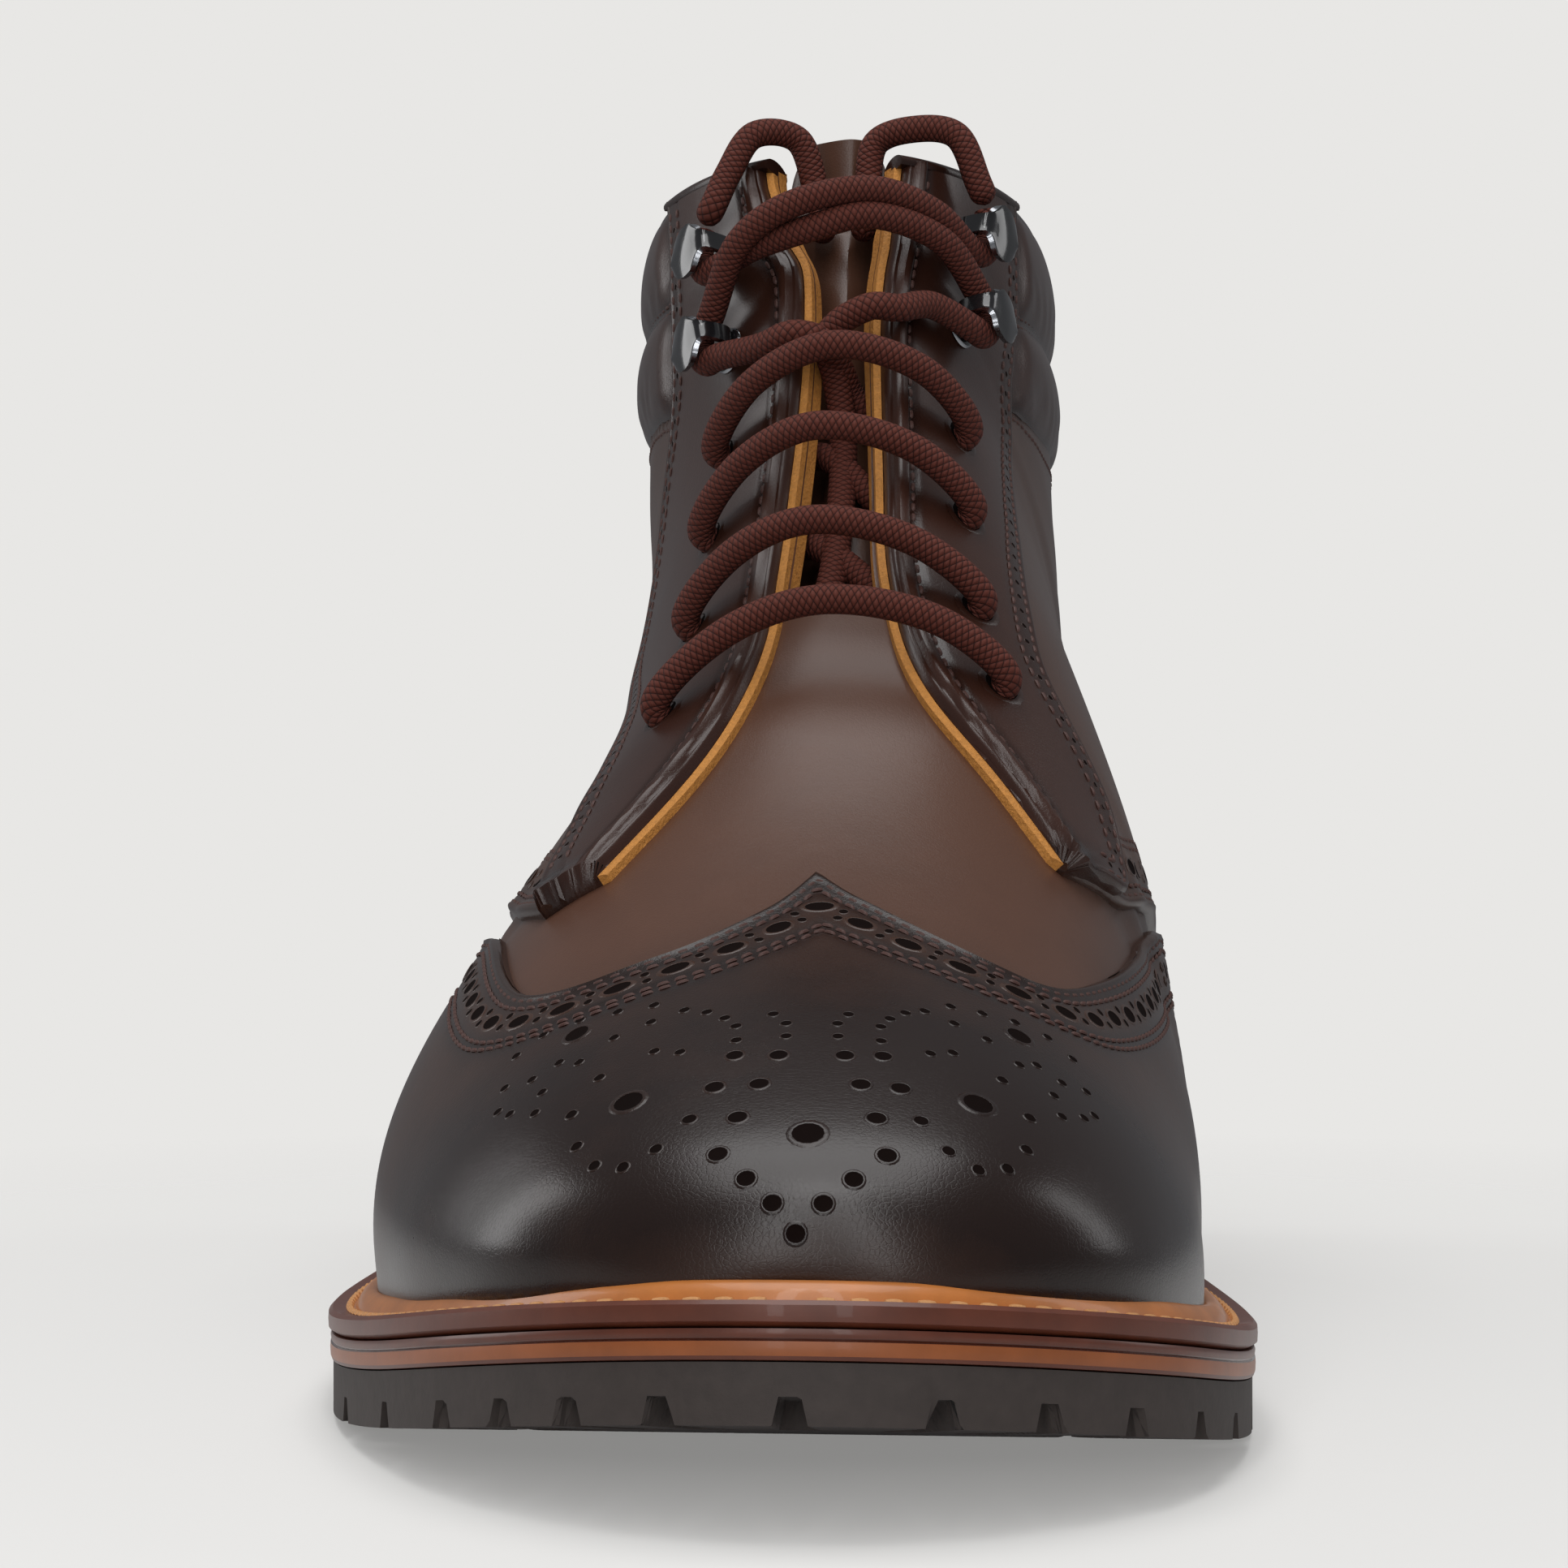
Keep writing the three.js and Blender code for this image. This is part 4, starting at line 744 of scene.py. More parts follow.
def maths(tree, operation, a, b=None, c=None):
    """One sum; a, b and c are sockets or numbers."""
    node = put(tree, "ShaderNodeMath", operation=operation)
    for socket, value in zip(node.inputs, (a, b, c)):
        if isinstance(value, (int, float)):
            socket.default_value = value
        elif value is not None:
            tree.links.new(value, socket)
    return node.outputs[0]


def noise(tree, vector, scale, detail=4.0, rough=0.5):
    """Cloudy value from 0 to 1 over the surface."""
    node = put(tree, "ShaderNodeTexNoise")
    tree.links.new(vector, node.inputs["Vector"])
    node.inputs["Scale"].default_value = scale
    node.inputs["Detail"].default_value = detail
    node.inputs["Roughness"].default_value = rough
    return node.outputs["Fac"]


def span(tree, value, low, high, to_low=0.0, to_high=1.0):
    """Value carried from one range to another, held at its ends."""
    node = put(tree, "ShaderNodeMapRange")
    tree.links.new(value, node.inputs["Value"])
    ends = {"From Min": low, "From Max": high, "To Min": to_low, "To Max": to_high}
    for key, number in ends.items():
        node.inputs[key].default_value = number
    return node.outputs["Result"]


def blend(tree, factor, a, b):
    """Colour mixed from a to b by a factor; each is a socket or a value."""
    node = put(tree, "ShaderNodeMix", data_type="RGBA")
    sockets = [s for s in node.inputs if s.enabled]
    for socket, value in zip(sockets, (factor, a, b)):
        if isinstance(value, (int, float)):
            socket.default_value = value
        elif isinstance(value, tuple):
            socket.default_value = (*value, 1)
        else:
            tree.links.new(value, socket)
    return next(s for s in node.outputs if s.enabled)


def make_grain():
    """Leather grain: the height is a share each of the cells' edge distance, a fine noise and
    a broad swell; the pores are what is left of the edge distance."""
    tree, start, end = group("leather grain", [("Vector", "NodeSocketVector", None),
                                               ("Scale", "NodeSocketFloat", 900.0)],
                             [("Height", "NodeSocketFloat"), ("Pores", "NodeSocketFloat")])
    cells = put(tree, "ShaderNodeTexVoronoi", feature="DISTANCE_TO_EDGE")
    tree.links.new(start.outputs["Vector"], cells.inputs["Vector"])
    tree.links.new(start.outputs["Scale"], cells.inputs["Scale"])
    edge = span(tree, cells.outputs["Distance"], 0.0, 0.16)
    fine = noise(tree, start.outputs["Vector"], 1800.0, 3.0)
    swell = noise(tree, start.outputs["Vector"], 90.0, 4.0)
    height = maths(tree, "MULTIPLY_ADD", edge, 0.12, maths(tree, "MULTIPLY", fine, 0.2))
    height = maths(tree, "MULTIPLY_ADD", swell, 1.2, height)
    tree.links.new(height, end.inputs["Height"])
    tree.links.new(maths(tree, "SUBTRACT", 1.0, edge), end.inputs["Pores"])
    return tree


def make_burnish_and_shade():
    """Burnished finish and painted shade: the amount, broken up by two sizes of cloud, mixes
    the plain colour towards the dark one; the mask gives the same share."""
    tree, start, end = group("burnish", [("Vector", "NodeSocketVector", None),
                                         ("Plain", "NodeSocketColor", (0.1, 0.05, 0.03, 1)),
                                         ("Dark", "NodeSocketColor", (0.02, 0.01, 0.01, 1)),
                                         ("Amount", "NodeSocketFloat", 0.5)],
                             [("Color", "NodeSocketColor"), ("Mask", "NodeSocketFloat")])
    broad = noise(tree, start.outputs["Vector"], 22.0, 3.0)
    small = noise(tree, start.outputs["Vector"], 160.0, 6.0, 0.6)
    cloud = maths(tree, "MULTIPLY_ADD", broad, 0.75, maths(tree, "MULTIPLY", small, 0.3))
    cloud = maths(tree, "SUBTRACT", cloud, 0.52)
    share = maths(tree, "ADD", start.outputs["Amount"], maths(tree, "MULTIPLY", cloud, 0.75))
    share = span(tree, share, 0.0, 1.0)
    colour = blend(tree, share, start.outputs["Plain"], start.outputs["Dark"])
    tree.links.new(colour, end.inputs["Color"])
    tree.links.new(share, end.inputs["Mask"])
    return tree


STRANDS_ROUND = 7.0
STRANDS_ALONG = 3.6


def make_braid():
    """Braided cord: the height is the product of two sine waves, one on the sum and one on the
    difference of the turn and the run; the gap is what lies low between the strands, the mask of the
    painted shade."""
    tree, start, end = group("braid", [("Vector", "NodeSocketVector", None)],
                             [("Height", "NodeSocketFloat"), ("Gap shade", "NodeSocketFloat")])
    split = put(tree, "ShaderNodeSeparateXYZ")
    tree.links.new(start.outputs["Vector"], split.inputs[0])
    turn, run = split.outputs["X"], split.outputs["Y"]
    turn = maths(tree, "MULTIPLY", turn, STRANDS_ROUND / BRAID_REPEATS)
    run = maths(tree, "MULTIPLY", run, STRANDS_ALONG)
    one = maths(tree, "SINE", maths(tree, "MULTIPLY", maths(tree, "ADD", turn, run), math.pi))
    two = maths(tree, "SINE", maths(tree, "MULTIPLY", maths(tree, "SUBTRACT", turn, run), math.pi))
    height = maths(tree, "MULTIPLY", maths(tree, "ABSOLUTE", one), maths(tree, "ABSOLUTE", two))
    height = maths(tree, "POWER", height, 0.6)
    tree.links.new(height, end.inputs["Height"])
    tree.links.new(span(tree, height, 0.05, 0.5, 1.0, 0.0), end.inputs["Gap shade"])
    return tree


GRAIN, BURNISH_AND_SHADE, BRAID = make_grain(), make_burnish_and_shade(), make_braid()


def add_group(tree, shared, **values):
    """Shared group placed in a material; each value is a socket, a number or a colour."""
    node = put(tree, "ShaderNodeGroup", node_tree=shared)
    for key, value in values.items():
        socket = node.inputs[key]
        if isinstance(value, tuple):
            socket.default_value = (*value, 1)
        elif isinstance(value, (int, float)):
            socket.default_value = value
        else:
            tree.links.new(value, socket)
    return node


def bump_into(tree, shader, height, distance):
    """Bump of a height, so many metres deep, into the shader's normal."""
    node = put(tree, "ShaderNodeBump")
    tree.links.new(height, node.inputs["Height"])
    node.inputs["Distance"].default_value = distance
    node.inputs["Strength"].default_value = 1.0
    tree.links.new(node.outputs["Normal"], shader.inputs["Normal"])


def leather(name, plain, dark, rough=(0.4, 0.27), grain=1700.0, deep=0.00006, coat=0.1, add=0.0):
    """Grained leather whose burnishing and painted shade follow the mesh's own attribute."""
    made, tree, shader = material(name)
    vector = put(tree, "ShaderNodeTexCoord").outputs["Object"]
    amount = put(tree, "ShaderNodeAttribute", attribute_name="burnish").outputs["Fac"]
    if add:
        amount = maths(tree, "ADD", amount, add)
    finish = add_group(tree, BURNISH_AND_SHADE, Vector=vector, Plain=plain, Dark=dark, Amount=amount)
    tree.links.new(finish.outputs["Color"], shader.inputs["Base Color"])
    tree.links.new(span(tree, finish.outputs["Mask"], 0, 1, *rough), shader.inputs["Roughness"])
    skin = add_group(tree, GRAIN, Vector=vector, Scale=grain)
    bump_into(tree, shader, skin.outputs["Height"], deep)
    shader.inputs["Specular IOR Level"].default_value = 0.4
    shader.inputs["Coat Weight"].default_value = coat
    shader.inputs["Coat Roughness"].default_value = 0.22
    return made


def plain_stuff(name, colour, rough, metal=0.0, spread=0.25, scale=300.0, deep=0.00004,
                coat=0.0, shine=0.5):
    """Plain stuff whose noise carries its colour from a spread below to a spread above, and
    gives it a fine uneven surface."""
    made, tree, shader = material(name)
    vector = put(tree, "ShaderNodeTexCoord").outputs["Object"]
    cloud = noise(tree, vector, scale, 5.0, 0.6)
    low = tuple(c * (1 - spread) for c in colour)
    high = tuple(min(c * (1 + spread), 1) for c in colour)
    tree.links.new(blend(tree, cloud, low, high), shader.inputs["Base Color"])
    bump_into(tree, shader, cloud, deep)
    shader.inputs["Roughness"].default_value = rough
    shader.inputs["Metallic"].default_value = metal
    shader.inputs["Specular IOR Level"].default_value = shine
    shader.inputs["Coat Weight"].default_value = coat
    return made


VAMP = leather("vamp leather", (0.094, 0.04, 0.023), (0.0125, 0.0052, 0.0036))
DARK = leather("dark leather", (0.062, 0.022, 0.013), (0.0115, 0.0045, 0.0032), rough=(0.36, 0.25))
LINING = leather("lining leather", (0.36, 0.2, 0.105), (0.2, 0.1, 0.05), (0.7, 0.6), 1200.0, 0.00005, 0.0)
RAW = plain_stuff("raw cut edge", (0.56, 0.235, 0.045), 0.75, spread=0.4, scale=1800.0, deep=0.0003)
THREAD = plain_stuff("brown thread", (0.06, 0.021, 0.015), 0.6, scale=3000.0)
TAN_THREAD = plain_stuff("tan thread", (0.62, 0.3, 0.11), 0.6, scale=3000.0)
# Painted shade: a near black dish with little shine stands for the inside of each hole and eyelet.
PAINTED_HOLE_SHADE = plain_stuff("painted hole shade", (0.006, 0.003, 0.0025), 0.9, shine=0.05)
BEAD = plain_stuff("welt bead", (0.5, 0.17, 0.036), 0.36, spread=0.35, scale=160.0, coat=0.2)
WELT_EDGE = plain_stuff("welt edge", (0.12, 0.03, 0.014), 0.38, spread=0.4, scale=200.0, coat=0.1)
SOLE_EDGE_TAN = plain_stuff("sole edge", (0.3, 0.085, 0.022), 0.38, spread=0.35, scale=140.0, coat=0.05)
HEEL_EDGE = plain_stuff("heel edge", (0.085, 0.022, 0.012), 0.25, spread=0.3, scale=140.0, coat=0.4)
TREAD = plain_stuff("tread rubber", (0.045, 0.034, 0.03), 0.72, spread=0.3, scale=400.0, deep=0.0001)
ENAMEL = plain_stuff("hook enamel", (0.008, 0.008, 0.009), 0.16, spread=0.1, coat=0.6)
RIM = plain_stuff("hook rim", (0.32, 0.33, 0.35), 0.22, metal=1.0, spread=0.1)


def make_lace_stuff():
    """Braided lace: reddish brown strands with painted shade, darker in the gaps, on the cord's own
    pattern.
    """
    made, tree, shader = material("braided lace")
    place = put(tree, "ShaderNodeTexCoord").outputs["UV"]
    braid = add_group(tree, BRAID, Vector=place)
    # Painted shade: the colour goes dark brown in the low gaps between the strands.
    colour = blend(tree, braid.outputs["Gap shade"], (0.115, 0.028, 0.018), (0.026, 0.006, 0.004))
    tree.links.new(colour, shader.inputs["Base Color"])
    bump_into(tree, shader, braid.outputs["Height"], 0.00025)
    shader.inputs["Roughness"].default_value = 0.75
    shader.inputs["Specular IOR Level"].default_value = 0.25
    return made


LACE_STUFF = make_lace_stuff()


def end_piece(name, route, node):
    """Free end of the lace over the collar's edge to the inside: a tube on the smooth curve
    through the frame's own route."""
    points = smooth_path(route, 200)
    piece = Piece()
    lace_tube(piece, points)
    made = piece.finish(name, [LACE_STUFF], "lace_cord", (node,), sharp=60)


end_piece("lace end lateral", LATERAL_END, "lace_end_lateral")
end_piece("lace end medial", MEDIAL_END, "lace_end_medial")


# Sole
def outline_side(w, side, moved):
    """Points (x, y) of the feather line at places w, moved outwards across it: square to the
    step between two near places, or straight along at the two tips."""
    line = feather_l if side < 0 else feather_m
    a, b = np.clip(w - 0.002, 0, 1), np.clip(w + 0.002, 0, 1)
    dx, dt = line(b) - line(a), feather_t(b) - feather_t(a)
    size = np.hypot(dx, dt)
    x = line(w) + side * dt / size * moved
    t = feather_t(w) - side * dx / size * moved
    tip_x = line(w)
    tip_t = feather_t(w) + np.where(w > 0.5, moved, -moved)
    tip = (w <= 0) | (w >= 1)
    return np.where(tip, tip_x, x) - MIDDLE, np.where(tip, tip_t, t) - SOLE_LENGTH / 2


WAIST_SHARE = 0.487
HEEL_SHARE = 0.714
TOE_PULL = 0.7


def backward(t):
    """Share of the way from the waist's front to the heel's, held at 0 and 1."""
    return np.clip((t / SOLE_LENGTH - WAIST_SHARE) / (HEEL_SHARE - WAIST_SHARE), 0, 1)


def overhang(t):
    """How far the sole stands out from the feather line: the welt's overhang passing into the
    heel's, pulled in a little over the toe's first 30 mm."""
    return mix(WELT_OVERHANG, HEEL_OVERHANG, backward(t)) - TOE_PULL * np.maximum(1 - t / 30, 0)


def rim(shift):
    """The overhang plus a shift, as a function of the distance along."""
    return lambda t: overhang(t) + shift


def along_t(y):
    """Distance along from the toe's tip: y plus half the length."""
    return y + SOLE_LENGTH / 2


def mid_top(t):
    """Height of the midsole's top: the welt's top less the welt."""
    return welt_top(t) - WELT


def rubber_top(t):
    """Height of the rubber's top: the midsole's underside less a hair."""
    return mid_top(t) - MIDSOLE - 0.1


def ground(t):
    """Height of the forepart's underside: the midsole's less the rubber, thinned towards the
    heel, and the tread's flat, but never under the floor."""
    thick = RUBBER * (1 - WAIST_THIN * backward(t)) + TREAD_FLAT
    return np.maximum(mid_top(t) - MIDSOLE - thick, 0)


def edge_line(w, side, profile):
    """Rings of the sole's side: each station's points out and up along a profile of
    (out, height line, raise)."""
    rows = []
    for out, line, raised in profile:
        amount = out(feather_t(w)) if callable(out) else np.full(len(w), float(out))
        x, y = outline_side(w, side, amount)
        rows.append(np.stack([x, y, line(along_t(y)) + raised], -1))
    return np.stack(rows, 1)


def slab(piece, w, profile, kinds=0, across=8):
    """Closed layer of the sole: rings of the left side's profile, the right side's and even
    points between them below and above, with a wall at an end that isn't a tip."""
    left, right = edge_line(w, -1, profile), edge_line(w, 1, profile)
    share = np.linspace(0, 1, across + 1)[1:-1, None]
    low = left[:, :1] + (right[:, :1] - left[:, :1]) * share[None]
    high = right[:, -1:] + (left[:, -1:] - right[:, -1:]) * share[None]
    ring = np.concatenate([low, right, high, left[:, ::-1]], 1)
    n, m, columns = len(profile), across - 1, ring.shape[1]
    kind = np.broadcast_to(kinds, n - 1)
    row = np.concatenate([np.full(m, kind[0]), kind, np.full(m + 1, kind[-1]), kind[::-1], kind[:1]])
    faces, tags = [loops_of(len(w), columns, True)], [np.tile(row, len(w) - 1)]
    step = np.arange(m, m + n - 1)
    mate = columns - 1 + m - step
    wall = np.stack([step, step + 1, mate - 1, mate], -1)
    if w[0] > 0:
        faces.append(wall[:, ::-1])
        tags.append(kind)
    if w[-1] < 1:
        faces.append(wall + (len(w) - 1) * columns)
        tags.append(kind)
    points = ring.reshape(-1, 3)
    piece.add(points, outward(points, np.concatenate(faces)), kind=np.concatenate(tags))


def outward(points, quads):
    """The same faces, turned to face out if the volume they close is negative."""
    a, b, c, d = points[quads].transpose(1, 0, 2)
    volume = (np.cross(a, b) * c).sum() + (np.cross(a, c) * d).sum()
    return quads if volume > 0 else quads[:, ::-1]


def flat(height):
    """One height at every distance along."""
    return lambda t: np.full_like(np.asarray(t, float), height)


HEEL_PLACE = 0.6455
HEEL_GAP = 0.0035
WHOLE = np.linspace(0, 1, 241)
INSOLE_CLEAR = 2.7


def make_insole():
    """Insole: the feather line moved inwards past the upper's walls, 3 mm thick."""
    piece = Piece()
    inset = -(WALL + LEATHER + LAYER_GAP + INSOLE_CLEAR)
    profile = [(inset - 0.4, 0), (inset, 0.5), (inset, 2.5), (inset - 0.7, 3)]
    slab(piece, WHOLE, [(out, mid_top, LAYER_GAP + up) for out, up in profile])
    piece.finish("insole", [LINING], "lining_leather", ("insole",))


def make_midsole():
    """Leather sole layer: its edge is a profile set in from the welt's, of (out, up) from its
    own underside, with a fine groove worked round it."""
    piece = Piece()
    profile = [(-1.3, 0), (-0.4, 0.1), (-0.25, 0.5), (-0.2, 1.4), (-0.25, 2.0), (-0.52, 2.15),
               (-0.35, 2.35), (-0.25, 2.9), (-0.4, 3.3), (-1.3, 3.4)]
    slab(piece, WHOLE, [(rim(out), mid_top, up - MIDSOLE) for out, up in profile],
         kinds=[1, 1, 0, 0, 2, 2, 1, 1, 1])
    piece.finish("midsole", [SOLE_EDGE_TAN, WELT_EDGE, HEEL_EDGE], "sole_leather", ("midsole",))


WELT_SEAM = 3.75
WELT_STITCH = 3.5


def make_welt():
    """Welt ring: the sole's side carried round, with a rounded rim and beside the upper a bead
    whose height is a power of a sine; sewn along its top."""
    piece = Piece()
    profile = [(-1.2, mid_top, 0.1), (rim(-0.8), mid_top, 0.1), (rim(0), mid_top, 0.6),
               (rim(0.05), mid_top, 1.5), (rim(0), mid_top, 2.3), (rim(-0.5), welt_top, 0),
               (rim(-1.1), welt_top, 0.02), (4.6, welt_top, -0.12), (3.7, welt_top, -0.1)]
    for f in np.linspace(0, 1, 9):
        swell = math.sin(f * math.pi * 0.62) ** 0.7
        profile.append((mix(BEAD_WIDTH, 0.2, f), welt_top, BEAD_HEIGHT * 1.02 * swell))
    profile.append((-1.2, welt_top, BEAD_HEIGHT * 0.5))
    right = edge_line(WHOLE, 1, profile)
    left = edge_line(WHOLE, -1, profile)[::-1][1:-1]
    ring = np.concatenate([right, left, right[:1]])
    row = np.array([1] * 8 + [0] * (len(profile) - 8))
    points = ring.reshape(-1, 3)
    quads = outward(points, loops_of(len(ring), len(profile), True))
    piece.add(points, quads, kind=np.tile(row, len(ring) - 1))
    w = np.linspace(0, 1, 1500)
    for side in (-1, 1):
        x, y = outline_side(w, side, np.full(len(w), WELT_SEAM))
        line, _ = even(np.stack([x, y, welt_top(along_t(y)) + 0.02], -1), WELT_STITCH)
        along = unit(np.gradient(line, axis=0))
        out = np.broadcast_to([0.0, 0.0, 1.0], along.shape)
        axes = np.stack([along, np.cross(out, along), out], -2)
        scatter(piece, STITCH, STITCH_QUADS, line[1:-1], axes[1:-1], (1.42, 0.5, 0.42), kind=2)
    piece.finish("welt", [BEAD, WELT_EDGE, TAN_THREAD], "sole_leather", ("welt",))


# Tread: the notches' places along each side, and the grooves from (x, t) to (x, t)
SOLE_NOTCHES = {
    -1: [0.055, 0.1, 0.14, 0.18, 0.235, 0.295, 0.36, 0.425],
    1: [0.0, 0.062, 0.11, 0.155, 0.2, 0.25, 0.31, 0.37, 0.43],
}
HEEL_NOTCHES = [0.76, 0.83, 0.9, 0.96]
STUD_GROOVES = [
    (-212, 110, 346, 110), (-327, 182, 385, 182), (-385, 260, 394, 260), (-385, 442, 346, 442),
    (-192, 84, -365, 247), (327, 84, 394, 247), (-163, 260, -163, 442), (163, 260, 163, 442),
]
HEEL_GROOVE = [(-231, 851, 173, 851)]
GROOVE_WIDTH = 3.2


def tread_lift(points, notches, grooves):
    """How far the tread is cut back at each point: the lug's depth within half a width of a
    groove's line or a notch's line, with a steep wall."""
    x, y = points[..., 0], points[..., 1]
    lift, lines = np.zeros(x.shape), []
    for groove in grooves:
        ends = np.array(groove).reshape(2, 2) * SHARE * (BALL_WIDTH, SOLE_LENGTH)
        lines.append(ends - (MIDDLE, SOLE_LENGTH / 2))
    for side, station in notches:
        w = np.array([max(station, 1e-6)])
        near, far = [np.concatenate(outline_side(w, side, np.array([out]))) for out in (-7.0, 10.0)]
        lines.append((near, far) if station else (near, near - (0, 20)))
    for a, b in lines:
        run = b - a
        f = np.clip(((x - a[0]) * run[0] + (y - a[1]) * run[1]) / (run @ run), 0, 1)
        away = np.hypot(x - a[0] - f * run[0], y - a[1] - f * run[1])
        lift = np.maximum(lift, 1 - smooth(away, GROOVE_WIDTH / 2 - 0.3, GROOVE_WIDTH / 2 + 0.3))
    return lift * LUG


def tread(piece, w, bottom, top, notches, grooves, across=80):
    """Rubber layer: even points across from side to side, once at the underside plus the
    tread's cut and once at the top, with walls between them."""
    outs = overhang(feather_t(w)) - 0.6
    left, right = [np.stack(outline_side(w, side, outs), -1)[:, None] for side in (-1, 1)]
    plan = mix(left, right, np.linspace(0, 1, across + 1)[None, :, None])
    t = along_t(plan[..., 1])
    low = np.concatenate([plan, (bottom(t) + tread_lift(plan, notches, grooves))[..., None]], -1)
    high = np.concatenate([plan, top(t)[..., None]], -1)
    columns, count = across + 1, t.size
    points = np.concatenate([low.reshape(-1, 3), high.reshape(-1, 3)])
    cells = loops_of(len(w), columns)
    r, c = np.arange(len(w) - 1) * columns, np.arange(across)
    quads = [cells[:, ::-1], cells + count]
    last = r[-1] + columns + c
    for a, b in ((r + columns, r), (r + across, r + columns + across), (c, c + 1), (last + 1, last)):
        quads.append(np.stack([b, b + count, a + count, a], -1))
    quads = np.concatenate(quads)
    piece.add(points, outward(points, quads))


def make_outsole():
    """Cleated forepart, as far back as the heel."""
    piece = Piece()
    w = np.linspace(0, HEEL_PLACE, 240)
    notches = [(side, station) for side, row in SOLE_NOTCHES.items() for station in row]
    tread(piece, w, ground, rubber_top, notches, STUD_GROOVES)
    piece.finish("outsole", [TREAD], "rubber", ("outsole",), sharp=30)


LIFTS = 3
LIFT_STEP = 4.1


def make_heel():
    """Cleated top piece, and over it the leather lifts, each rounded off above and below."""
    top_piece = Piece()
    w = np.linspace(HEEL_PLACE + HEEL_GAP, 1, 150)
    notches = [(side, station) for side in (-1, 1) for station in HEEL_NOTCHES]
    tread(top_piece, w, flat(0.0), flat(TOP_PIECE), notches, HEEL_GROOVE)
    top_piece.finish("heel top piece", [TREAD], "rubber", ("heel_top_piece",), sharp=30)
    stack = Piece()
    profile = [(rim(-1.8), flat(TOP_PIECE), 0.05)]
    for k in range(LIFTS):
        low = 0.3 + k * LIFT_STEP
        for out, up in ((-0.95, 0), (-0.8, 0.35), (-0.8, 3.5), (-0.95, 3.85)):
            profile.append((rim(out), flat(TOP_PIECE), low + up))
    profile += [(rim(-0.9), rubber_top, -0.3), (rim(-1.8), rubber_top, 0)]
    slab(stack, w, profile, across=1)
    stack.finish("heel stack", [HEEL_EDGE], "stacked_leather", ("heel_stack",))


make_insole()
make_midsole()
make_welt()
make_outsole()
make_heel()


# Upper
SPLIT_ROW = 12.9
THROAT_INSET = 0.012
PANEL_UNDER = SHELL_OUTER - 0.15


def throat_half(v, side):
    """Place of the throat's edge on a side: a hair inside the facing's front, and below the
    split as far out as at the split."""
    return EDGES[side]["front"](np.maximum(v, SPLIT_ROW)) - THROAT_INSET


def make_upper():
    """Vamp and lining in one shell between two heights under the surface: whole below the
    throat, by a grid across it, and split in two above it."""
    piece = Piece()
    rows = np.concatenate([np.linspace(0, SPLIT_ROW, 92), np.linspace(SPLIT_ROW, TOP_ROW, 70)[1:]])
    share = np.linspace(0, 1, 70) ** 1.05
    grids = []
    for side in (-1, 1):
        v = np.repeat(rows[:, None], len(share), 1)
        u = side * mix(throat_half(v, side), FEATHER_PLACE, share[None])
        if side < 0:
            v, u = v[:, ::-1], u[:, ::-1]
        grids.append((v, u, SHELL_OUTER + 0 * v, SHELL_INNER + 0 * v, toe_tone(v, u)))
    low = rows[rows <= SPLIT_ROW]
    v = np.repeat(low[:, None], 17, 1)
    u = mix(-throat_half(v, -1), throat_half(v, 1), np.linspace(0, 1, 17)[None])
    grids.append((v, u, SHELL_OUTER + 0 * v, SHELL_INNER + 0 * v, toe_tone(v, u)))
    sheet(piece, grids, wall=2)
    piece.finish("upper", [VAMP, LINING, RAW], "upper_leather", ("upper",))


def folded_edge(d, height, foot, fold=0.32):
    """Height of a panel at distance d from its edge: a quarter circle up from its foot, plus
    a bell where the edge is folded."""
    rounded = np.sqrt(np.clip(1 - (1 - np.clip(d / 0.9, 0, 1)) ** 2, 0, 1))
    return foot + (height - foot) * rounded + fold * bump(d, 1.0, 0.8)


def furrow(d, *places, deep=0.14, width=0.45):
    """Shallow furrow under each row of stitches: a bell downwards at each of its places."""
    return -deep * sum(bump(d, place, width) for place in places)


BAND_SEAMS = (1.5, 2.8, 8.5, 9.7)  # the rows' distances from the panel's edge
BAND_MIDDLE = 5.4
OVAL_STEP = 7.0
OVAL_HALF = (1.75, 1.12)
PIN_HALF = 0.55
PIN_ASIDE = 0.95
STITCH_STEP = 2.1


def brogue_band(piece, v, u, side, reach=(4.0, 4.0)):
    """Sewn and punched band along an edge: two rows of stitches, ovals with pairs of small
    holes between them, and two more rows of stitches below."""
    for row in BAND_SEAMS:
        stitch(piece, *beside(v, u, side * row), 0.0, gap=STITCH_STEP, start=row, end=row)
    ov, ou = spaced(*beside(v, u, side * BAND_MIDDLE), OVAL_STEP, *reach)
    punch(piece, ov, ou, 0.0, *OVAL_HALF)
    mid_v, mid_u = (ov[1:] + ov[:-1]) / 2, (ou[1:] + ou[:-1]) / 2
    for aside in (-PIN_ASIDE, PIN_ASIDE):
        pin_v, pin_u = beside(mid_v, mid_u, aside, 1)
        punch(piece, pin_v, pin_u, 0.0, PIN_HALF, burnish=0.7, depth=0.6)


